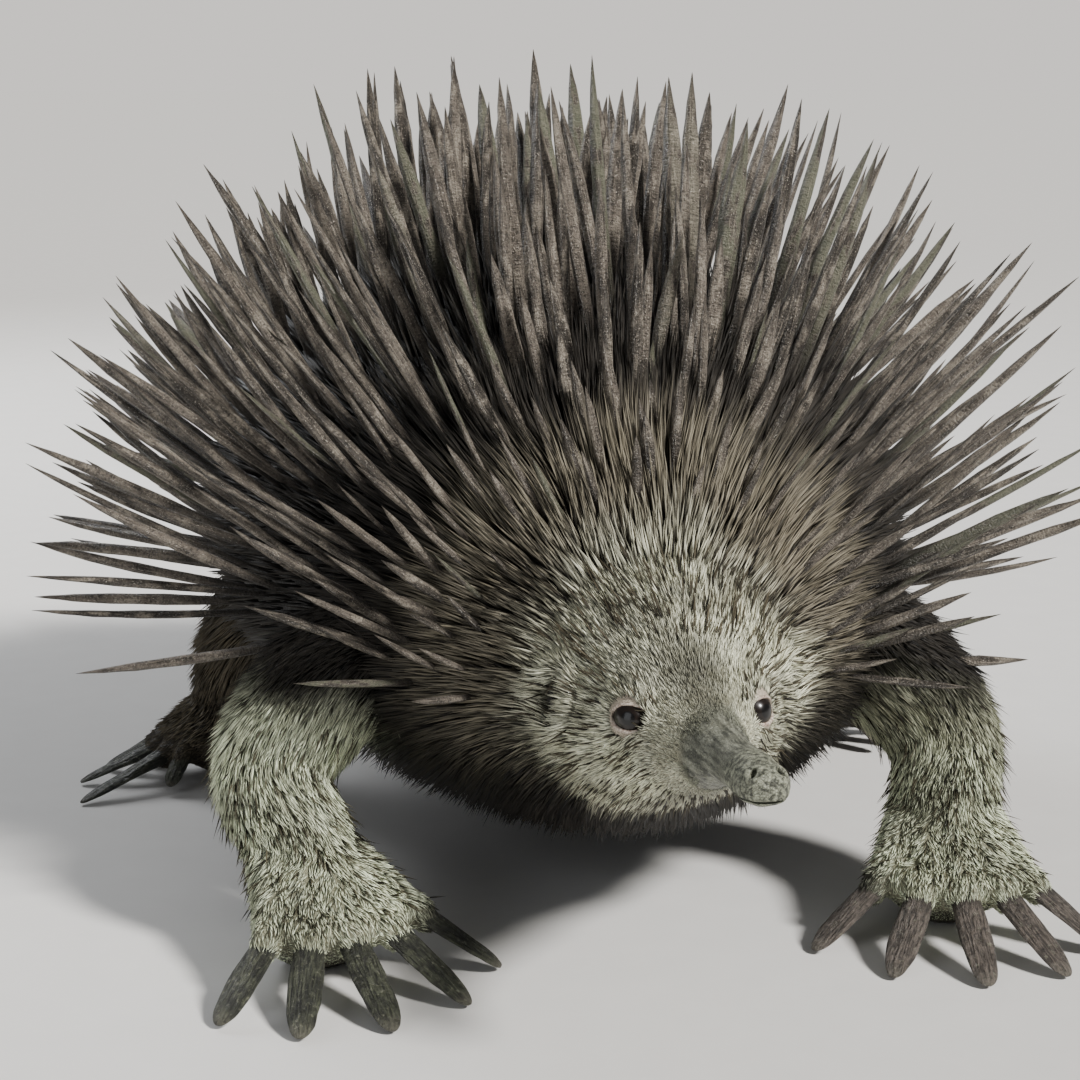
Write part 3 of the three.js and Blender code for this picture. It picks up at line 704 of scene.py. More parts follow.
def lie_on_limb(points, where, limb, side_name):
    """The way hair lies on one leg: down it, and out over the toes on the foot."""
    side, paw = SIDES[side_name], limb["paw"]
    joints = limb_points(limb, side)
    ahead = along_path(joints, np.minimum(where + 0.02, 1)) - along_path(joints, where)
    down = unit(ahead + [0, 0, -0.3])
    front = heading(side, limb["turn"][side_name])
    outward = points - [side * paw["x"], paw["y"], 0] + 7 * front
    outward[:, 2] = 0
    toes = unit(outward) + 0.8 * front + [0, 0, -0.45]
    foot = smooth(-points[:, 2], -limb["wrist"] - 14, -limb["wrist"] + 2)[:, None]
    return down * (1 - foot) + unit(toes) * foot


def lie_of(points, normals, owner, where):
    """The way the coat lies along the skin: backwards, and away from the eyes on the face."""
    lie = np.tile([0.0, 1.0, 0.0], (len(points), 1))
    face = 1 - smooth(points[:, 1], -118, -96)
    for side in SIDES.values():
        away = points - eye_place(side)[0]
        near = np.exp(-((np.linalg.norm(away, axis=1) / 8.5) ** 2)) * face
        lie += unit(away) * (1.6 * near)[:, None]
    low = smooth(np.abs(body_angle(points)), 1.9, 2.7) * smooth(points[:, 1], -130, -90)
    lie[:, 2] -= 0.5 * low
    for index, (limb_name, side_name) in enumerate(LEGS):
        mine = owner == index
        lie[mine] = lie_on_limb(points[mine], where[mine], LIMBS[limb_name], side_name)
    lie += 0.2 * waves(points, 9.0)
    return unit(lie - normals * (lie * normals).sum(1)[:, None])


def unwrapped(points, owner, where):
    """Place of each point on a flat unwrap of the skin: the body above, the legs below."""
    length = (points[:, 1] - FRONT_Y) / (REAR_Y - FRONT_Y + 26)
    round_body = body_angle(points) / TURN + 0.5
    flat = np.stack([0.01 + 0.98 * round_body, 0.40 + 0.59 * length], 1)
    for index, (limb_name, side_name) in enumerate(LEGS):
        mine = owner == index
        joints = limb_points(LIMBS[limb_name], SIDES[side_name])
        off = points[mine] - along_path(joints, where[mine])
        round_leg = np.arctan2(off[:, 1], off[:, 0]) / TURN + 0.5
        down = np.clip(1 - points[mine, 2] / 100, 0, 1)
        flat[mine] = np.stack([0.01 + 0.245 * (index + 0.96 * round_leg), 0.38 - 0.37 * down], 1)
    return flat


def hair_points(roots, ways, lies, lengths, widths, stations, sides, bend, sunk, rough=0.0):
    """Points of closed tapering forms, and how far along its form each point is.

    stations are (share of the length, share of the width). A sharp tip is added at the end.
    """
    count = len(roots)
    across = unit(np.cross(lies, ways))
    over = np.cross(ways, across)
    curve = 0.5 * (np.broadcast_to(bend, count) * lengths)[:, None] * lies
    rows, along = [], []
    for share, wide in stations:
        middle = roots + ways * (lengths * share)[:, None] + curve * max(share, 0) ** 2
        if share <= 0:
            middle = roots - ways * sunk
        swell = 1 + rough * rng.uniform(-1, 1, count)
        for a in circle(sides):
            rim = across * math.cos(a) + over * (HAIR_FLAT * math.sin(a))
            bump = swell * (1 + 0.7 * rough * rng.uniform(-1, 1, count))
            rows.append(middle + rim * (widths * wide * bump)[:, None])
            along.append(max(share, 0))
    rows.append(roots + ways * lengths[:, None] + curve)
    return np.stack(rows, 1), np.array(along + [1.0])


def hair_faces(stations, sides):
    """Triangles of one closed tapering form."""
    faces = []
    for ring in range(stations - 1):
        for i in range(sides):
            a, b = ring * sides + i, ring * sides + (i + 1) % sides
            faces += [(a, b, b + sides), (a, b + sides, a + sides)]
    last = (stations - 1) * sides
    faces += [(last + i, last + (i + 1) % sides, last + sides) for i in range(sides)]
    faces += [(0, i + 1, i) for i in range(1, sides - 1)]
    return np.array(faces)


def hair_object(name, roots, points, along, flat, patch, lengths, sides):
    """One mesh of many closed forms, with the values that its material reads."""
    count, each = points.shape[:2]
    faces = hair_faces(each // sides, sides)
    corners = (faces[None] + (np.arange(count) * each)[:, None, None]).reshape(-1)
    mesh = bpy.data.meshes.new(name)
    mesh.vertices.add(count * each)
    mesh.vertices.foreach_set("co", place(points.reshape(-1, 3)).ravel())
    mesh.loops.add(len(corners))
    mesh.loops.foreach_set("vertex_index", corners)
    mesh.polygons.add(len(corners) // 3)
    mesh.polygons.foreach_set("loop_start", np.arange(0, len(corners), 3))
    turn = np.append(np.tile(np.arange(sides), each // sides) * 2 * math.pi / sides, 0)
    local = np.stack([np.cos(turn) * (1 - along), 2 * along - 1], 1)
    corner = flat[:, None, :] + 0.5 * patch * local[None]
    uv = mesh.uv_layers.new(name="OFBake")
    uv.data.foreach_set("uv", corner.reshape(-1, 2)[corners].ravel())
    chance = rng.random(count)
    grain = np.empty((count, each, 3))
    grain[..., 0] = 3 * np.cos(turn)
    grain[..., 1] = 3 * np.sin(turn)
    grain[..., 2] = along * lengths[:, None]
    grain += (chance * 500)[:, None, None]
    set_values(mesh, "root", np.repeat(place(roots), each, axis=0))
    set_values(mesh, "grain", grain)
    set_values(mesh, "along", np.tile(along, count))
    set_values(mesh, "chance", np.repeat(chance, each))
    mesh.update()
    mesh.validate()
    return smoothed(new_object(name, mesh))


def clumped(points, ways, lengths, spacing, strength):
    """Turns each hair's tip towards the tip of the nearest of some leading hairs."""
    leaders = rng.random(len(points)) < min(1, 1 / spacing)
    tips = points + ways * lengths[:, None]
    tree = kdtree.KDTree(int(leaders.sum()))
    for i in np.flatnonzero(leaders):
        tree.insert(points[i], i)
    tree.balance()
    nearest = np.array([tree.find(point)[1] for point in points])
    pull = strength * rng.uniform(0.5, 1, len(points))[:, None]
    tips = tips + (tips[nearest] - tips) * pull
    return unit(tips - points)


def inside_box(roots, ways, lengths):
    """Shortens what would reach past the box of the solids, or into the floor."""
    low = np.array(cad_low) * MM - SHIFT + BOX_ROOM
    high = np.array(cad_high) * MM - SHIFT - BOX_ROOM
    for axis in range(3):
        reach = np.where(ways[:, axis] > 0, high[axis] - roots[:, axis], low[axis] - roots[:, axis])
        most = reach / np.where(np.abs(ways[:, axis]) < 1e-3, 1e-3, ways[:, axis])
        lengths = np.minimum(lengths, np.maximum(most, 0))
    return lengths


# Each kind of fur: hairs per square millimetre, half width, how steeply it stands, how far it
# curls back to the skin, and how strongly how many hairs gather
FUR = {
    "face": {"density": 3.5, "width": 0.2, "stand": 0.35, "bend": 0.35, "clump": (9, 0.4)},
    "bristle": {"density": 0.14, "width": 0.3, "stand": 0.55, "bend": 0.1, "clump": (1, 0.0)},
    "ruff": {"density": 0.85, "width": 0.34, "stand": 0.75, "bend": 0.25, "clump": (12, 0.5)},
    "back": {"density": 0.1, "width": 0.5, "stand": 1.1, "bend": 0.3, "clump": (5, 0.3)},
    "belly": {"density": 0.3, "width": 0.42, "stand": 0.6, "bend": 0.4, "clump": (7, 0.5)},
    "foreleg": {"density": 1.9, "width": 0.225, "stand": 0.4, "bend": 0.3, "clump": (14, 0.55)},
    "hindleg": {"density": 1.0, "width": 0.29, "stand": 0.5, "bend": 0.35, "clump": (9, 0.45)},
    "foot": {"density": 1.9, "width": 0.19, "stand": 0.2, "bend": 0.3, "clump": (8, 0.35)},
}


def fur_length(kind, points, where):
    """Length of the hair, in millimetres."""
    y, angle = points[:, 1], np.abs(body_angle(points))
    top = 1 - smooth(angle, 0.5, 1.3)
    if kind == "face":
        side = smooth(angle, 0.7, 1.6)
        brow = 0.9 + 0.5 * smooth(y, -162, -150)
        brow = brow + 1.9 * smooth(y, -150, -126) + 1.6 * smooth(y, -124, -102)
        return brow + side * (1.2 * smooth(y, -148, -128) + 1.8 * smooth(y, -128, -104))
    if kind == "bristle":
        on_body = 5 + 5 * smooth(y, -134, -112) + 5 * smooth(y, -110, -85)
        return np.where(where > 0, 11 - 4.5 * where, on_body)
    if kind == "ruff":
        return 8.5 + 5.5 * smooth(y, -104, -80) + top * 7 * smooth(y, -96, -74)
    if kind == "back":
        return (14 + 4 * top) * (1 - 0.7 * smooth(y, 206, 238))
    if kind == "belly":
        return (11 + 3 * smooth(y, 60, -40)) * (1 - 0.7 * smooth(y, 206, 238))
    if kind == "foreleg":
        return 7.5 - 4.4 * smooth(where, 0.25, 0.85)
    if kind == "hindleg":
        return 11 - 6.5 * smooth(where, 0.25, 0.9)
    return 1.7 + 1.1 * smooth(points[:, 2], 6, 24)


def kind_of(points, owner):
    """Which fur grows at each point, or none on the beak, the soles and round eyes and ears."""
    y, around = points[:, 1], body_angle(points)
    kind = np.where(y < HEAD_END_Y - 3, "face", np.where(y < NECK_END_Y + 4, "ruff", "back"))
    kind = np.where((kind == "back") & (np.abs(around) > BELLY_FROM), "belly", kind).astype("<U8")
    for index, (limb_name, _) in enumerate(LEGS):
        mine = owner == index
        kind[mine] = f"{limb_name}leg"
        kind[mine & (points[:, 2] < LIMBS[limb_name]["wrist"] - 1)] = "foot"
    ragged = BARE_BEAK_Y + 2.5 * np.sin(4 * around + 1) + 1.5 * np.sin(11 * around)
    kind[(owner < 0) & (y < ragged)] = "none"
    kind[(owner >= 0) & (points[:, 2] < BARE_SOLE_Z)] = "none"
    for side in SIDES.values():
        eye, look = eye_place(side)
        kind[(distance(points, eye) < BARE_EYE) & ((points - eye) @ look > 0)] = "none"
        ear, _ = on_head(EAR_Y, EAR_ANGLE, side)
        kind[distance((points - ear) / BARE_EAR, 0) < 1] = "none"
    return kind


def grown(name, points, normals, owner, where):
    """One kind of fur on given roots, as an object for each side of the animal."""
    fur = FUR[name]
    length = fur_length(name, points, where) * rng.uniform(0.6, 1.15, len(points))
    lies = lie_of(points, normals, owner, where)
    crest = smooth(points[:, 1], -100, -70) * (1 - smooth(np.abs(body_angle(points)), 0.9, 1.7))
    stand = fur["stand"] + CREST_STAND * crest * (name == "ruff")
    ways = lies + normals * stand[:, None] + rng.normal(0, 0.13, (len(points), 3))
    ways = clumped(points, unit(ways), length, *fur["clump"])
    length = inside_box(points, ways + 0.5 * fur["bend"] * lies, length)
    width = fur["width"] * rng.uniform(0.7, 1.2, len(points)) * (0.5 + 0.5 * smooth(length, 0, 5))
    flat = unwrapped(points, owner, where)
    for side_name, side in SIDES.items():
        mine = (points[:, 0] * side > 0) & (length > SHORTEST_HAIR)
        shape, along = hair_points(
            points[mine], ways[mine], lies[mine], length[mine], width[mine],
            HAIR_STATIONS, HAIR_SIDES, fur["bend"], HAIR_SUNK,
        )
        yield hair_object(
            f"fur_{name}_{side_name}", points[mine], shape, along,
            flat[mine], HAIR_PATCH, length[mine], HAIR_SIDES,
        )


def fur_density(points):
    """Hairs for each square millimetre, without bristles."""
    kind = kind_of(points, limb_share(points)[0])
    value = np.zeros(len(points))
    for name, fur in FUR.items():
        value[kind == name] = fur["density"]
    return value


def bristle_density(points):
    """Bristles for each square millimetre, on face, ruff and forelegs."""
    kind = kind_of(points, limb_share(points)[0])
    cheek = np.abs(body_angle(points)) > CHEEK_FROM
    starts = np.where(cheek, BRISTLE_CHEEK_Y, BRISTLE_BROW_Y)
    grows = ((kind == "face") & (points[:, 1] > starts)) | (kind == "ruff")
    return np.where(grows, FUR["bristle"]["density"], 0) + LEG_BRISTLES * (kind == "foreleg")


def make_fur(surface):
    """All the fur, with the name of its kind."""
    points, normals = surface.spread(fur_density)
    owner, where = limb_share(points)
    kind = kind_of(points, owner)
    for name in FUR:
        if name == "bristle":
            roots, facing = surface.spread(bristle_density)
            pieces = grown(name, roots, facing, *limb_share(roots))
        else:
            mine = kind == name
            pieces = grown(name, points[mine], normals[mine], owner[mine], where[mine])
        for piece in pieces:
            yield name, piece


# Spines

SPINES_FROM, SPINES_TO = -88, 213
SPINE_ROW, SPINE_GAP, SPINE_LOWEST = 11.5, 12.3, 101
# Spines stand closer on the nape, and stray from their places by shares of the gaps
NAPE_GAP, ROW_STRAY, GAP_STRAY = 0.74, 0.3, 0.28
# Length and radius at places along Y
SPINE_LENGTHS = np.array(
    [
        [-88, 22], [-74, 38], [-60, 54], [-45, 68], [-15, 80],
        [20, 84], [50, 84], [100, 76], [160, 61], [213, 45],
    ],
    float,
)
SPINE_RADIUS = np.array([[-88, 1.8], [-66, 2.4], [-40, 2.8], [20, 3.0], [150, 2.9], [213, 2.5]])
# Share of short spines and their width, and where the flanks' are shorter: angle, reach, loss
SHORT_SHARE, SHORT_WIDTH = 0.14, 0.7
SHORTER_AT = ((-0.95, 0.5, 0.2), (0.55, 0.3, 0.09))
SPINE_LEAN, SPINE_RISE, SPINE_STRAY, RUMP_FAN = 0.62, 0.45, 0.15, 0.75
SPINE_SIDES, SPINE_SUNK, SPINE_ROUGH, SPINE_CLEAR, SIDE_FROM = 9, 4.0, 0.09, 3.0, 0.75
# One spine that sticks out over the left foreleg
STRAY_ROOT, STRAY_TIP, STRAY_ANGLE, STRAY_RADIUS = (79, -58, 71), (122, -54, 65.5), 1.7, 1.9
SPINE_STATIONS = [
    (-0.06, 0.55), (0.0, 0.62), (0.1, 0.77), (0.24, 0.92), (0.4, 1.0), (0.54, 1.0), (0.65, 0.95),
    (0.74, 0.84), (0.82, 0.67), (0.88, 0.49), (0.93, 0.3), (0.965, 0.16), (0.988, 0.07),
]


def spine_roots():
    """Roots in staggered rows over the back and flanks, with a little disorder."""
    roots, last, count = [], None, 0
    for y in np.arange(SPINES_FROM, SPINES_TO + 1, 1.0):
        crowd = NAPE_GAP + (1 - NAPE_GAP) * smooth(y, -60, -20)
        if last is not None:
            travelled = np.linalg.norm(body_point(y, 0) - body_point(last, 0))
            if travelled < SPINE_ROW * crowd:
                continue
        last, count = y, count + 1
        angles = np.radians(np.arange(-SPINE_LOWEST, SPINE_LOWEST + 0.5, 0.5))
        ring = body_point(np.full(len(angles), y), angles)
        travelled = np.concatenate([[0], np.cumsum(np.linalg.norm(np.diff(ring, axis=0), axis=1))])
        gap = SPINE_GAP * crowd
        stops = np.arange((0.25 if count % 2 else 0.75) * gap, travelled[-1], gap)
        stops = stops + rng.uniform(-GAP_STRAY, GAP_STRAY, len(stops)) * gap
        found = np.interp(stops, travelled, angles)
        shift = rng.uniform(-ROW_STRAY, ROW_STRAY, len(stops)) * SPINE_ROW
        roots += list(zip(np.clip(y + shift, SPINES_FROM, SPINES_TO), found))
    return np.array(roots + [(STRAY_ROOT[1], STRAY_ANGLE)])


def clear_of_limbs(roots, ways, lengths):
    """Which spines stay clear of legs and tail all the way out."""
    fine = np.ones(len(roots), bool)
    start, end = np.array(TAIL["root"]), np.array(TAIL["tip"])
    for share in (0.12, 0.3, 0.55, 1.0):
        at = roots + ways * (lengths * share)[:, None]
        for limb_name, side_name in LEGS:
            limb = LIMBS[limb_name]
            near, t = nearest_on_limb(at, limb, SIDES[side_name])
            radius = radius_at(limb["radii"], t)
            fine &= near * radius > radius + SPINE_CLEAR
        reach = np.clip((at - start) @ (end - start) / ((end - start) @ (end - start)), 0, 1)
        away = np.linalg.norm(at - start - reach[:, None] * (end - start), axis=1)
        fine &= away > TAIL["root_radius"] * (1 - 0.7 * reach)
    return fine


def spine_ways(y, angle, normals):
    """The way each spine points: leaning back, and rising on the flanks."""
    aside = np.abs(angle)
    front_flank = smooth(aside, 0.7, 1.3) * (1 - smooth(y, -20, 70))
    lean = SPINE_LEAN * (1 - 0.6 * front_flank)
    ways = unit(normals + lean[:, None] * [0, 1, 0])
    ways = ways + rng.uniform(-1, 1, (len(y), 3)) * SPINE_STRAY
    low = smooth(aside, 1.45, 1.85)
    ways[:, 2] += SPINE_RISE * smooth(aside, 0, math.pi / 2) * (1 - 0.6 * low)
    swayed = 0.1 + 0.17 * smooth(-angle, 0, 0.5)
    ways[:, 0] += swayed * smooth(y, -40, 60) * (1 - smooth(aside, 1.0, 1.6))
    rump = RUMP_FAN * smooth(y, 140, 205)
    ways[:, 0] += rump * np.sin(angle)
    ways[:, 2] += rump * np.cos(angle)
    return unit(ways)


def spine_sizes(y, angle):
    """Length and radius of each spine, thinner on the flanks in front."""
    lengths = between(SPINE_LENGTHS, 1, y) * rng.uniform(0.7, 1.06, len(y))
    short = rng.random(len(y)) < SHORT_SHARE
    lengths = np.where(short, lengths * rng.uniform(0.5, 0.8, len(y)), lengths)
    radius = between(SPINE_RADIUS, 1, y) * rng.uniform(0.74, 1.12, len(y))
    radius = np.where(short, radius * SHORT_WIDTH, radius)
    flank = smooth(np.abs(angle), 0.25, 0.7)
    radius *= 0.94 - 0.32 * flank * (1 - 0.6 * smooth(y, 30, 130))
    for turn, reach, less in SHORTER_AT:
        near = np.exp(-(((angle - turn) / reach) ** 2))
        lengths = lengths * (1 - less * smooth(y, -40, 20) * near)
    return lengths, radius


def make_spines():
    """The spines in four pieces, from the nape to the rump."""
    y, angle = spine_roots().T
    roots, normals = body_point(y, angle), body_normal(y, angle)
    ways = spine_ways(y, angle, normals)
    lengths, radius = spine_sizes(y, angle)
    roots[-1], stray = STRAY_ROOT, np.subtract(STRAY_TIP, STRAY_ROOT)
    lengths[-1], radius[-1] = np.linalg.norm(stray), STRAY_RADIUS
    ways[-1] = stray / lengths[-1]
    lift = rng.normal(0, 1, (len(y), 3)) + [0, 0.3, 1.0]
    lift = unit(lift - ways * (lift * ways).sum(1)[:, None])
    bend = rng.uniform(0.02, 0.16, len(y))
    lengths = inside_box(roots, ways + 0.5 * bend[:, None] * lift, lengths)
    fine = clear_of_limbs(roots, ways, lengths)
    fine[-1] = True
    flat = unwrapped(roots, np.full(len(y), -1), np.zeros(len(y)))
    behind = y >= NECK_END_Y
    parts = {
        "nape": y < NECK_END_Y,
        "back": behind & (np.abs(angle) < SIDE_FROM),
        "right": behind & (angle <= -SIDE_FROM),
        "left": behind & (angle >= SIDE_FROM),
    }
    for part, chosen in parts.items():
        mine = fine & chosen
        points, along = hair_points(
            roots[mine], ways[mine], lift[mine], lengths[mine], radius[mine],
            SPINE_STATIONS, SPINE_SIDES, bend[mine], SPINE_SUNK, SPINE_ROUGH,
        )
        yield hair_object(
            f"spines_{part}", roots[mine], points, along,
            flat[mine], SPINE_PATCH, lengths[mine], SPINE_SIDES,
        )


# Claws, eyes and lids

CLAW_EDGE, CLAW_WEAR, CLAW_GROOVE, CLAW_SIDES = 1.25, 0.09, 0.13, 40
CLAW_TIP_STEPS = [0.925, 0.95, 0.97, 0.985, 0.995]
EYE_EASE, CORNEA_FROM, CORNEA_RISE = 0.02, 0.78, 0.035
LID_SIDES, LID_STEPS, LID_RIM_WIDE, LID_CORNER = 12, 72, 1.2, 0.35


def claw_section(h, limb, root, worn, index):
    """How far a claw's rim lies across and up, at a share h of its length."""
    around = circle(CLAW_SIDES)
    lens = np.sign(np.sin(around)) * np.abs(np.sin(around)) ** CLAW_EDGE
    knots = np.linspace(0, 1, worn.shape[1])
    taper = math.sqrt(1 - h**6)
    width = (root + (limb["claw_half"] - root) * min(1, 2.5 * h)) * taper * (1 - 0.1 * h)
    thick = (root + (CLAW_THICK - root) * min(1, 2 * h)) * taper**0.6 * (1 - 0.35 * h)
    nick = np.where(np.cos(around) > 0, *(np.interp(h, knots, edge) for edge in worn))
    across = np.cos(around) * width * (1 + nick * h)
    rise = lens * thick
    rise = np.where(rise < 0, rise * (0.75 - 0.35 * np.cos(across / width * 1.4)), rise)
    return across, rise + CLAW_GROOVE * np.sin(across * 3.6 + index) * np.abs(np.sin(around)) * taper


def claw_object(limb_name, side_name, index, toe):
    """A long flat claw, hollowed beneath, with grooves along it and worn edges."""
    limb, down = LIMBS[limb_name], toe["down"]
    length, root = limb["claws"][index], limb["toe_radius"][index] * 0.78
    level = unit(np.cross(UP, down))
    up = np.cross(down, level)
    worn = rng.uniform(-1, 1, (2, 9)) * CLAW_WEAR
    rows, grain = [], []
    for h in np.concatenate([np.linspace(0, 0.9, 34), CLAW_TIP_STEPS]):
        across, rise = claw_section(h, limb, root, worn, index)
        along = -CLAW_ROOT + (length + CLAW_ROOT - 0.2) * h
        middle = toe["knuckle"] + down * along - up * CLAW_BEND * h * h
        rows.append(middle + np.outer(across, level) + np.outer(rise, up))
        grain += [(a, r, along * 0.12 + index * 9) for a, r in zip(across, rise)]
    made = polygon_object(f"{limb_name}_{side_name}_claw_{index + 1}_horn", [loft(rows)])
    steps = np.repeat(np.linspace(0, 1, len(rows)), CLAW_SIDES)
    set_values(made.data, "grain", np.array(grain + [grain[0], grain[-1]], float))
    set_values(made.data, "along", np.concatenate([steps, [0, 1]]))
    return smoothed(made)


def eye_object(name, side):
    """An eyeball whose own Z axis is its gaze, with a swollen clear front."""
    center, look = eye_place(side)
    shape = globe(40, 56)
    swell = 1 + CORNEA_RISE * smooth(shape[..., 2:], CORNEA_FROM, 1.0)
    points, faces = loft((EYE_RADIUS - EYE_EASE) * swell / MM * shape)
    mesh = bpy.data.meshes.new(name)
    mesh.from_pydata(points.tolist(), [], faces)
    made = smoothed(new_object(name, mesh))
    turn = np.eye(4)
    turn[:3, :3] = turn_to(look)
    turn[:3, 3] = place(center)
    made.matrix_world = Matrix(turn.tolist())
    return made


def lid_object(name, side):
    """The wet rims of both lids, as a rounded band round the opening."""
    center, look = eye_place(side)
    axes = turn_to(look)
    around = circle(LID_SIDES)[:, None]
    rows = []
    for turn in circle(LID_STEPS):
        corner = abs(math.cos(turn)) ** 6
        x = (LID_ALONG + LID_CORNER * corner) * math.cos(turn)
        y = LID_ACROSS * math.sin(turn)
        z = math.sqrt((EYE_RADIUS + 0.25) ** 2 - x * x - y * y)
        out = unit(np.array([x, y * 1.3, 0]))
        thick = 0.3 + 0.16 * max(0, -math.sin(turn)) + 0.2 * corner
        rim = LID_RIM_WIDE * out * np.cos(around) + UP * np.sin(around)
        rows.append(center + (np.array([x, y, z]) + thick * rim) @ axes.T)
    faces = []
    for i in range(LID_STEPS):
        a, b = i * LID_SIDES, (i + 1) % LID_STEPS * LID_SIDES
        for j in range(LID_SIDES):
            k = (j + 1) % LID_SIDES
            faces.append((a + j, a + k, b + k, b + j))
    return smoothed(polygon_object(name, [(np.vstack(rows), faces)]))


# Materials


class Nodes:
    """A node tree under construction."""

    def __init__(self, tree):
        self.tree = tree

    def add(self, kind, inputs=None, **settings):
        """A node with its settings made and its inputs joined."""
        node = self.tree.nodes.new(kind)
        for key, value in settings.items():
            setattr(node, key, value)
        for key, value in (inputs or {}).items():
            self.join(value, node.inputs[key])
        return node

    def join(self, value, socket):
        """Links another node's output, or sets a plain value."""
        if isinstance(value, bpy.types.NodeSocket):
            self.tree.links.new(value, socket)
        else:
            socket.default_value = value

    def math(self, operation, a, b=0.0):
        return self.add("ShaderNodeMath", {0: a, 1: b}, operation=operation).outputs[0]

    def times(self, a, b):
        return self.math("MULTIPLY", a, b)

    def vector(self, operation, a, b, output=0):
        return self.add("ShaderNodeVectorMath", {0: a, 1: b}, operation=operation).outputs[output]

    def mix(self, share, a, b, blend="MIX"):
        inputs = {0: share, 6: a, 7: b}
        return self.add("ShaderNodeMix", inputs, data_type="RGBA", blend_type=blend).outputs[2]

    def step(self, value, low, high, out_low=0.0, out_high=1.0):
        """A soft step of a value between low and high."""
        inputs = dict(enumerate((value, low, high, out_low, out_high)))
        return self.add("ShaderNodeMapRange", inputs, interpolation_type="SMOOTHSTEP").outputs[0]

    def noise(self, vector, scale, detail=4.0, rough=0.55):
        inputs = {"Vector": vector, "Scale": scale, "Detail": detail, "Roughness": rough}
        return self.add("ShaderNodeTexNoise", inputs).outputs["Fac"]

    def attribute(self, name, output="Vector"):
        return self.add("ShaderNodeAttribute", attribute_name=name).outputs[output]

    def position(self):
        return self.add("ShaderNodeNewGeometry").outputs["Position"]

    def parted(self, vector):
        return self.add("ShaderNodeSeparateXYZ", {"Vector": vector}).outputs

    def drift(self, noise, reach):
        """A shift by a noise, half of its reach each way."""
        return self.times(self.math("SUBTRACT", noise, 0.5), reach)

    def layered(self, tone, *layers):
        """Lays colours over a first one: by which value, from, to, how strongly, colour."""
        for value, low, high, strength, over in layers:
            tone = self.mix(self.times(self.step(value, low, high), strength), tone, over)
        return tone

    def tinted(self, tone, share, low, high=(1, 1, 1)):
        """A colour multiplied by a tint that runs from low to high."""
        return self.mix(1.0, tone, self.mix(share, (*low, 1), (*high, 1)), "MULTIPLY")

    def weighted(self, *parts):
        """A sum of values, each given with its weight."""
        total, *others = [self.times(value, weight) for value, weight in parts]
        for other in others:
            total = self.math("ADD", total, other)
        return total


def color(red, green, blue):
    """A colour given as it shows on a screen, from 0 to 255."""

    def linear(value):
        value = value / 255
        return value / 12.92 if value <= 0.04045 else ((value + 0.055) / 1.055) ** 2.4

    return (linear(red), linear(green), linear(blue), 1.0)


PALE_FUR, HOOD_FUR, DARK_FUR = color(249, 249, 229), color(126, 119, 106), color(44, 40, 36)
LEG_FUR, LEG_SHADE, HIND_FUR = color(236, 243, 219), color(146, 140, 118), color(98, 90, 76)
BEAK_SKIN, BROW_WEDGE = color(150, 153, 138), color(110, 109, 97)
# The last two colours here are painted shade, for the ear openings and for the skin low on the feet.
SOCKET_RING, EAR_PAINTED_SHADE, SOLE_PAINTED_SHADE = color(190, 176, 160), color(28, 24, 21), color(46, 41, 35)

# Where each marking starts and where it is full, in design millimetres: along Y, up Z, and out
# from the middle line X
HOOD_Y, BACK_Y, BARE_Y = (-112, -90), (-86, -62), (-150, -160)
UNDER_Y, UNDER_Z = (-112, -96), (84, 54)
FORELEG_X, FORELEG_Z, FORELEG_Y, FORELEG_SLANT = (58, 70), (76, 52), (-66, -78), 0.7
SHADE_X, SHADE_Z, SHADE_STRENGTH = (0, 50), (30, 56), 0.5
HINDLEG_X, HINDLEG_Z, HINDLEG_Y = (72, 86), (70, 50), (60, 72)
WEDGE_Y, WEDGE_FROM_Y, WEDGE_HALF, WEDGE_WIDENS, WEDGE_STRENGTH = (-118, -136), -150, 6, 0.1, 0.62
# Pale hide and the beak's tip, the height of the painted shade low on the feet, and distances from the
# eye's centre and the ear
HIDE_Y, TIP_Y, SOLE_Z, RING_AWAY, EAR_AWAY = (-128, -150), (-178, -188), (12, 6), (7.6, 6), (7, 3.5)


def frame_y(design_y):
    """A place along the design's Y, in the frame's metres."""
    return (design_y + SHIFT[1]) / MM


def band_y(n, y, ends):
    """A soft step along the body between two design places."""
    return n.step(y, frame_y(ends[0]), frame_y(ends[1]))


def band(n, value, ends):
    """A soft step of a value in metres between two lengths in millimetres."""
    return n.step(value, ends[0] / MM, ends[1] / MM)


def nearest(n, position, places):
    """Distance of a shaded point from the nearer of two design points, in metres."""
    away = [n.vector("DISTANCE", position, tuple(place(spot)), "Value") for spot in places]
    return n.math("MINIMUM", *away)


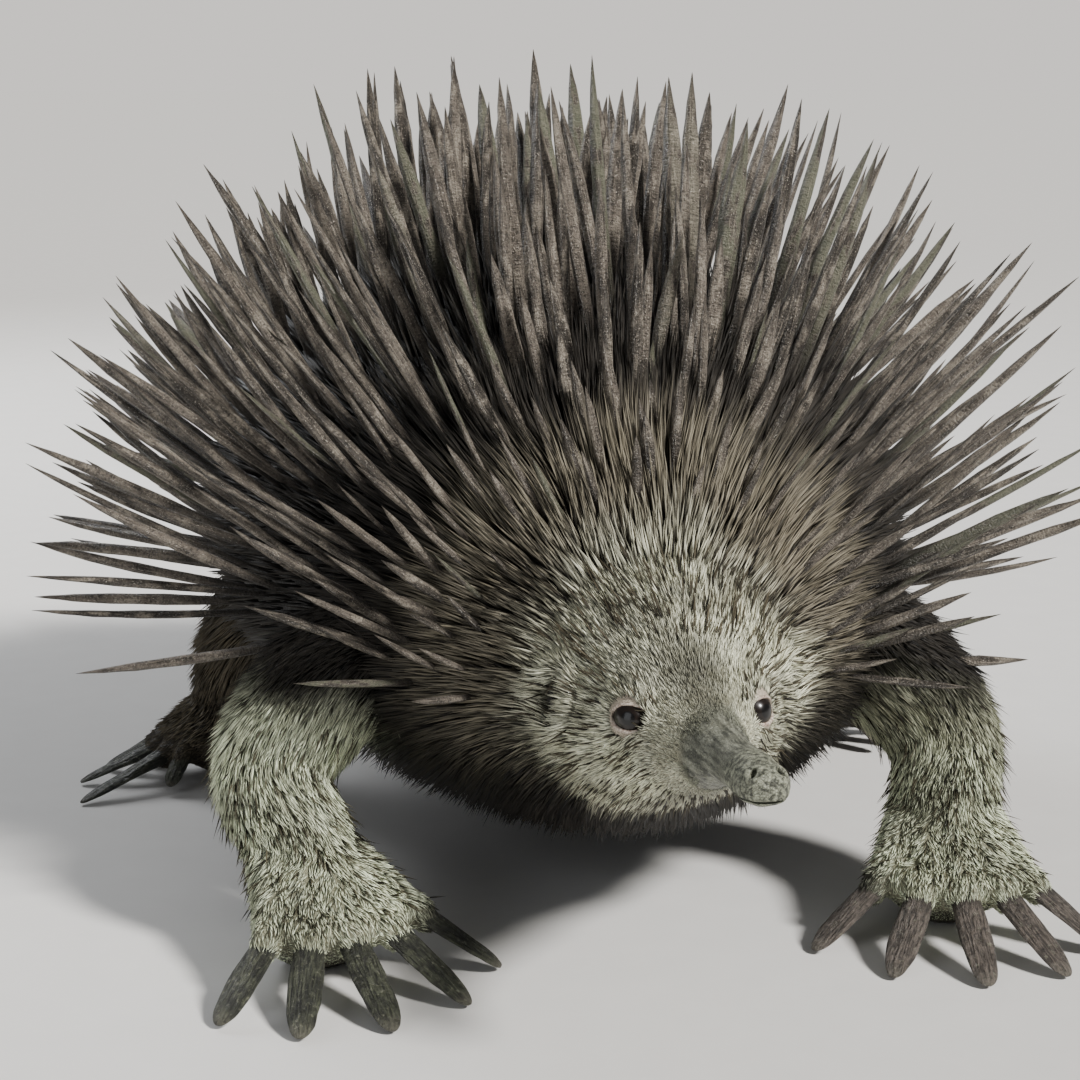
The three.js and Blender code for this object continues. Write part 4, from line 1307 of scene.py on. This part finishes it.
def marking_group():
    """Colour of coat and skin at a place of the body, the same for both."""
    tree = bpy.data.node_groups.new("echidna_markings", "ShaderNodeTree")
    tree.interface.new_socket("Place", in_out="INPUT", socket_type="NodeSocketVector")
    tree.interface.new_socket("Color", in_out="OUTPUT", socket_type="NodeSocketColor")
    tree.interface.new_socket("Bare", in_out="OUTPUT", socket_type="NodeSocketFloat")
    n = Nodes(tree)
    given = n.add("NodeGroupInput").outputs["Place"]
    apart = n.parted(given)
    drift = n.drift(n.noise(given, 38.0, 1.0), 0.03)
    y, z = n.math("ADD", apart["Y"], drift), n.math("ADD", apart["Z"], drift)
    x = n.math("ABSOLUTE", n.math("SUBTRACT", apart["X"], SHIFT[0] / MM))

    # Pale face, brown hood, dark back and underside
    tone = n.mix(band_y(n, y, HOOD_Y), PALE_FUR, HOOD_FUR)
    tone = n.mix(band_y(n, y, BACK_Y), tone, DARK_FUR)
    tone = n.mix(n.times(band(n, z, UNDER_Z), band_y(n, y, UNDER_Y)), tone, DARK_FUR)
    # Pale forelegs, the left one browner at its top, which is partly its brown hair and partly painted
    # shade, and brown hind legs
    foreleg = n.times(band(n, x, FORELEG_X), band(n, z, FORELEG_Z))
    slanted = n.math("SUBTRACT", y, n.times(z, FORELEG_SLANT))
    shaded = n.times(band(n, apart["X"], SHADE_X), band(n, z, SHADE_Z))
    leg_tone = n.mix(n.times(shaded, SHADE_STRENGTH), LEG_FUR, LEG_SHADE)
    tone = n.mix(n.times(foreleg, band_y(n, slanted, FORELEG_Y)), tone, leg_tone)
    hindleg = n.times(band(n, x, HINDLEG_X), band(n, z, HINDLEG_Z))
    tone = n.mix(n.times(hindleg, band_y(n, y, HINDLEG_Y)), tone, HIND_FUR)
    # A grey wedge up the brow, and the bare beak
    widening = n.times(n.math("ADD", y, -frame_y(WEDGE_FROM_Y)), WEDGE_WIDENS)
    wide = n.math("ADD", WEDGE_HALF / MM, widening)
    wedge = n.times(n.step(n.math("DIVIDE", x, wide), 1.5, 0.5), band_y(n, y, WEDGE_Y))
    tone = n.mix(n.times(wedge, WEDGE_STRENGTH), tone, BROW_WEDGE)
    bare = band_y(n, y, BARE_Y)
    tone = n.mix(bare, tone, BEAK_SKIN)
    # Cloudy and fine variation over all of it
    cloudy = n.noise(n.vector("MULTIPLY", given, (1.0, 0.7, 1.0)), 75.0, 1.0, 0.5)
    tone = n.tinted(tone, n.step(cloudy, 0.36, 0.6), (0.83, 0.83, 0.78), (1.13, 1.14, 1.07))
    fine = n.noise(given, 210.0, 1.0)
    tone = n.tinted(tone, n.step(fine, 0.3, 0.7), (0.78, 0.77, 0.74), (1.12, 1.12, 1.14))
    n.add("NodeGroupOutput", {"Color": tone, "Bare": bare})
    return tree


def new_material(name):
    """A material with its tree and its principled shader."""
    made = bpy.data.materials.new(name)
    made.use_nodes = True
    return made, Nodes(made.node_tree), made.node_tree.nodes["Principled BSDF"]


def marked(n, markings, spot):
    """The markings at a place: their colour, and how bare the skin is."""
    return n.add("ShaderNodeGroup", {"Place": spot}, node_tree=markings).outputs


def raised(n, shader, height, strength, reach):
    """Gives a surface its fine relief."""
    bump = n.add("ShaderNodeBump", {"Strength": strength, "Distance": reach, "Height": height})
    n.join(bump.outputs[0], shader.inputs["Normal"])


def skin_material(markings):
    """Leathery beak, pale at its tip, and hide that is the colour of the fur on it but darker, with
    painted shade in the ears and low on the feet.
    """
    made, n, shader = new_material("hide")
    position = n.position()
    marks, apart = marked(n, markings, position), n.parted(position)
    mottle = n.noise(position, 420.0, 4.0, 0.6)
    grains = n.noise(position, 760.0, 4.0, 0.65)
    streak = n.noise(n.vector("MULTIPLY", position, (1.0, 0.12, 1.0)), 900.0, 4.0, 0.6)
    # Cracks between cells whose edges sway
    waver = n.add("ShaderNodeTexNoise", {"Vector": position, "Scale": 700.0}).outputs["Color"]
    bent = n.vector("ADD", position, n.vector("MULTIPLY", waver, [0.0011] * 3))
    cells = n.add("ShaderNodeTexVoronoi", {"Vector": bent, "Scale": 1250.0}, feature="DISTANCE_TO_EDGE")
    crack = n.step(cells.outputs["Distance"], 0.0, 0.12)

    thin = band_y(n, apart["Y"], HIDE_Y)
    hide = n.tinted(marks["Color"], thin, (0.3, 0.28, 0.26), (0.62, 0.6, 0.57))
    shaft = n.mix(n.step(streak, 0.36, 0.66), color(66, 68, 60), color(140, 142, 128))
    tip = n.mix(n.step(grains, 0.36, 0.64), color(54, 56, 47), color(152, 155, 136))
    along = n.math("ADD", apart["Y"], n.drift(mottle, 0.008))
    tone = n.mix(marks["Bare"], hide, n.mix(band_y(n, along, TIP_Y), shaft, tip))
    eye = nearest(n, position, [eye_place(side)[0] for side in SIDES.values()])
    tone = n.mix(n.times(band(n, eye, RING_AWAY), 0.8), tone, SOCKET_RING)
    tone = n.tinted(tone, n.step(crack, 0.0, 1.0), (0.66, 0.64, 0.6))
    # Painted shade: the ear openings and the skin round them are darkened to near black.
    ears = [on_head(EAR_Y, EAR_ANGLE, side) for side in SIDES.values()]
    ear = nearest(n, position, [surface - EAR_DEPTH * out for surface, out in ears])
    tone = n.mix(band(n, ear, EAR_AWAY), tone, EAR_PAINTED_SHADE)
    # Painted shade: the skin low on the feet, under the paws and between the claws, is darkened.
    tone = n.mix(n.times(band(n, apart["Z"], SOLE_Z), 0.85), tone, SOLE_PAINTED_SHADE)
    n.join(tone, shader.inputs["Base Color"])
    n.join(n.step(mottle, 0.3, 0.7, 0.42, 0.66), shader.inputs["Roughness"])
    raised(n, shader, n.weighted((crack, 0.4), (grains, 1.2), (streak, 0.8)), 0.7, 0.0006)
    return made


def fur_material(markings, name, root_dark, tint=(1, 1, 1, 1)):
    """Coarse hair: dark at its root, paler to the tip, with dark hairs among pale ones."""
    made, n, shader = new_material(name)
    marks = marked(n, markings, n.attribute("root"))
    along, chance = n.attribute("along", "Fac"), n.attribute("chance", "Fac")
    shade = n.step(along, 0.0, 0.8, root_dark, 1.12)
    dark_hair = n.step(chance, 0.1, 0.24, 0.3, 0.82)
    level = n.times(shade, n.times(dark_hair, n.step(chance, 0.2, 1.0, 0.9, 1.42)))
    grey = n.add("ShaderNodeCombineColor", {"Red": level, "Green": level, "Blue": level}).outputs[0]
    tone = n.mix(1.0, marks["Color"], grey, "MULTIPLY")
    n.join(n.mix(1.0, tone, tint, "MULTIPLY"), shader.inputs["Base Color"])
    n.join(n.step(chance, 0.0, 1.0, 0.48, 0.7), shader.inputs["Roughness"])
    shader.inputs["Specular IOR Level"].default_value = 0.35
    return made


def spine_material():
    """Horn of the spines: rough taupe with beige blotches, cross wrinkles, darker tips, painted shade
    towards the roots and pale specks that are painted glints.
    """
    made, n, shader = new_material("spine_horn")
    along, chance = n.attribute("along", "Fac"), n.attribute("chance", "Fac")
    grain = n.attribute("grain")
    blotch = n.noise(n.vector("MULTIPLY", grain, (0.2, 0.2, 0.13)), 1.0, 2.0, 0.55)
    wrinkle = n.noise(n.vector("MULTIPLY", grain, (0.4, 0.4, 1.5)), 1.0, 3.0, 0.6)
    fibre = n.noise(n.vector("MULTIPLY", grain, (1.1, 1.1, 0.1)), 1.0, 2.0, 0.55)
    speck_and_glint = n.noise(grain, 1.7, 3.0, 0.65)
    base = n.layered(
        n.mix(chance, color(66, 61, 55), color(142, 132, 120)),
        (blotch, 0.5, 0.66, 0.85, color(172, 162, 147)),
        (blotch, 0.46, 0.33, 0.72, color(44, 40, 36)),
        (wrinkle, 0.52, 0.36, 0.6, color(44, 40, 36)),
        (fibre, 0.54, 0.72, 0.5, color(184, 172, 156)),
        (speck_and_glint, 0.43, 0.32, 0.55, color(38, 34, 30)),
        # Pale specks that are painted glints
        (speck_and_glint, 0.58, 0.71, 0.8, color(236, 228, 214)),
    )
    stained = n.times(n.step(chance, 0.86, 0.9), n.step(blotch, 0.36, 0.5))
    base = n.mix(n.times(stained, 0.55), base, color(104, 114, 90))
    # Painted shade: each spine darkens towards its root, where the spines crowd.
    base = n.layered(base, (along, 0.46, 0.05, 0.9, color(38, 33, 28)))
    tip = n.times(n.step(along, 0.8, 0.98), n.step(chance, 0.25, 0.8))
    n.join(n.mix(n.times(tip, 0.35), base, color(50, 41, 34)), shader.inputs["Base Color"])
    n.join(n.step(speck_and_glint, 0.3, 0.7, 0.54, 0.3), shader.inputs["Roughness"])
    raised(n, shader, n.weighted((wrinkle, 1.0), (speck_and_glint, 0.8), (fibre, 0.7)), 1.0, 0.0017)
    return made


def claw_material(name, dark, pale):
    """Horn of the claws: long streaks, a darker root, a worn edge and dirt in its pits."""
    made, n, shader = new_material(name)
    position, along = n.position(), n.attribute("along", "Fac")
    streak = n.noise(n.attribute("grain"), 1.6, 6.0, 0.62)
    chips = n.noise(position, 700.0, 5.0, 0.6)
    patch = n.noise(position, 190.0, 4.0, 0.55)
    base = n.layered(
        dark,
        (streak, 0.34, 0.66, 1.0, pale),
        (patch, 0.52, 0.36, 0.6, dark),
        (along, 0.26, 0.0, 1.0, dark),
        (along, 0.78, 1.0, 0.4, color(118, 114, 102)),
        (chips, 0.55, 0.68, 0.7, color(24, 22, 19)),
        (chips, 0.42, 0.3, 0.45, color(140, 140, 122)),
    )
    n.join(base, shader.inputs["Base Color"])
    n.join(n.step(chips, 0.3, 0.7, 0.38, 0.64), shader.inputs["Roughness"])
    raised(n, shader, n.weighted((streak, 1.0), (chips, 0.6)), 1.0, 0.0015)
    return made


def eye_material():
    """A dark wet eye with a faint brown iris."""
    made, n, shader = new_material("wet_eye")
    local = n.add("ShaderNodeTexCoord").outputs["Object"]
    apart = n.parted(local)
    off_axis = n.math("SQRT", n.math("ADD", *[n.math("POWER", apart[axis], 2.0) for axis in "XY"]))
    iris = n.mix(n.noise(local, 1500.0, 3.0), color(32, 23, 18), color(15, 12, 10))
    pupil = (off_axis, 0.0019, 0.0016, 1.0, color(6, 5, 5))
    white = (off_axis, 0.0034, 0.0039, 1.0, color(20, 17, 15))
    tone = n.layered(iris, pupil, white)
    n.join(tone, shader.inputs["Base Color"])
    shader.inputs["Roughness"].default_value = 0.3
    shader.inputs["Specular IOR Level"].default_value = 0.25
    shader.inputs["Coat Weight"].default_value = 0.4
    shader.inputs["Coat Roughness"].default_value = 0.13
    return made


def lid_material():
    """Moist pale pinkish skin of the lids' rims."""
    made, n, shader = new_material("lid_rim")
    patch = n.noise(n.position(), 1300.0, 4.0)
    tone = n.mix(n.step(patch, 0.35, 0.65), color(142, 122, 110), color(204, 192, 178))
    n.join(tone, shader.inputs["Base Color"])
    n.join(n.step(patch, 0.3, 0.7, 0.25, 0.5), shader.inputs["Roughness"])
    raised(n, shader, patch, 0.4, 0.0002)
    return made


def floor_material():
    """Plain pale studio paper."""
    made, n, shader = new_material("studio_paper")
    fleck = n.noise(n.position(), 60.0, 4.0)
    n.join(n.mix(fleck, (0.70, 0.69, 0.67, 1), (0.76, 0.75, 0.73, 1)), shader.inputs["Base Color"])
    shader.inputs["Roughness"].default_value = 0.85
    return made


def dressed(piece, material, slot, *nodes):
    """Gives a piece its material and its place in the frame."""
    piece.data.materials.clear()
    piece.data.materials.append(material)
    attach(piece, "root")
    if nodes:
        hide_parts(*nodes)


# Camera, lights and floor

CAMERA_AZIMUTH, CAMERA_ELEVATION = -11.0, 11.5
CAMERA_AWAY = 635
CAMERA_TARGET = (-24.8, -60, 110.5)
CAMERA_LENS, CAMERA_SENSOR = 76.67, 36
FLOOR_HALF = 30
# The key light is a wide sun. Fill and rim are squares aimed at the animal's middle:
# place, power, size, colour
KEY_POWER, KEY_WIDTH, KEY_COLOR, KEY_WAY = 5.9, 10, (1.0, 0.975, 0.94), (-0.68, 0.7, -0.83)
SQUARE_LIGHTS = {
    "fill": ((-1.1, -0.9, 0.5), 4.5, 0.9, (0.94, 0.97, 1.0)),
    "rim": ((-0.5, 1.1, 0.9), 12, 0.6, (0.95, 0.97, 1.0)),
}
ANIMAL_MIDDLE = Vector((0, -0.05, 0.1))
# Light of the surroundings, and the backdrop that the camera sees
SKY_LIGHT, SKY_STRENGTH = (0.82, 0.82, 0.84, 1), 0.17
BACKDROP, BACKDROP_STRENGTH = (0.8365, 0.804, 0.766, 1), 1.12


def aimed(name, data, way, spot=(0, 0, 0)):
    """A camera or light at a spot, looking along a direction."""
    made = new_object(name, data)
    made.location = spot
    made.rotation_euler = Vector(way).to_track_quat("-Z", "Y").to_euler()
    return made


def make_camera():
    """The photo's view of the animal."""
    a, e = math.radians(CAMERA_AZIMUTH), math.radians(CAMERA_ELEVATION)
    back = np.array([math.sin(a) * math.cos(e), -math.cos(a) * math.cos(e), math.sin(e)])
    data = bpy.data.cameras.new("camera")
    data.lens, data.sensor_width = CAMERA_LENS, CAMERA_SENSOR
    data.clip_start, data.clip_end = 0.02, 50
    spot = Vector(place(np.array(CAMERA_TARGET) + back * CAMERA_AWAY))
    bpy.context.scene.camera = aimed("camera", data, -back, spot)


def make_floor():
    """A wide pale floor, which isn't part of the animal."""
    mesh = bpy.data.meshes.new("floor")
    corners = [(x * FLOOR_HALF, y * FLOOR_HALF, 0) for x, y in ((-1, -1), (1, -1), (1, 1), (-1, 1))]
    mesh.from_pydata(corners, [], [(0, 1, 2, 3)])
    mesh.materials.append(floor_material())
    new_object("floor", mesh)


def make_world():
    """Dim even light all round, and a pale backdrop for the camera alone."""
    world = bpy.data.worlds.new("studio")
    world.use_nodes = True
    n = Nodes(world.node_tree)
    light = world.node_tree.nodes["Background"]
    light.inputs["Color"].default_value = SKY_LIGHT
    light.inputs["Strength"].default_value = SKY_STRENGTH
    seen = n.add("ShaderNodeBackground", {"Color": BACKDROP, "Strength": BACKDROP_STRENGTH})
    from_camera = n.add("ShaderNodeLightPath").outputs["Is Camera Ray"]
    both = n.add("ShaderNodeMixShader", {0: from_camera, 1: light.outputs[0], 2: seen.outputs[0]})
    n.join(both.outputs[0], world.node_tree.nodes["World Output"].inputs["Surface"])
    bpy.context.scene.world = world


def make_lights():
    """Soft light, strongest from the upper right in front."""
    data = bpy.data.lights.new("key", "SUN")
    data.energy, data.angle, data.color = KEY_POWER, math.radians(KEY_WIDTH), KEY_COLOR
    aimed("key", data, KEY_WAY)
    for name, (spot, power, size, tint) in SQUARE_LIGHTS.items():
        data = bpy.data.lights.new(name, "AREA")
        data.energy, data.size, data.color = power, size, tint
        aimed(name, data, ANIMAL_MIDDLE - Vector(spot), spot)


def dress_flesh(markings):
    """The skin in place of all nodes of flesh, and the fur on it."""
    skin = make_skin()
    surface = Surface(skin)
    flesh = ["beak", "head", "neck", "torso", "tail"]
    for part in ("ear", "foreleg", "forefoot", "hindleg", "hindfoot"):
        flesh += [f"{part}_{side}" for side in SIDES]
    dressed(skin, skin_material(markings), "coat", *flesh)
    coarse_hair = fur_material(markings, "coarse_hair", 0.13)
    bristle_hair = fur_material(markings, "bristle_hair", 0.3, color(82, 75, 66))
    for kind, piece in make_fur(surface):
        material = bristle_hair if kind == "bristle" else coarse_hair
        dressed(piece, material, "ruff" if kind in ("ruff", "back") else "coat")


def dress_spines():
    """Every spine, over the skin."""
    horn = spine_material()
    for piece in make_spines():
        dressed(piece, horn, "spines")


def dress_eyes_and_claws():
    """Eyeballs, rims of the lids, and claws: dark on the right, taupe on the left."""
    rim, wet = lid_material(), eye_material()
    horn = {
        "right": claw_material("claw_horn_dark", color(20, 21, 17), color(74, 77, 62)),
        "left": claw_material("claw_horn_taupe", color(46, 41, 37), color(108, 99, 91)),
    }
    for side_name, side in SIDES.items():
        dressed(eye_object(f"eyeball_{side_name}", side), wet, "eye", f"eye_{side_name}")
        dressed(lid_object(f"lid_rim_{side_name}", side), rim, "face")
        for limb_name, limb in LIMBS.items():
            for i, toe in enumerate(toes_of(limb, side_name)):
                piece = claw_object(limb_name, side_name, i, toe)
                dressed(piece, horn[side_name], "claw", f"{limb_name}_{side_name}_claw_{i + 1}")


make_camera()
make_floor()
make_world()
make_lights()
dress_flesh(marking_group())
dress_spines()
dress_eyes_and_claws()
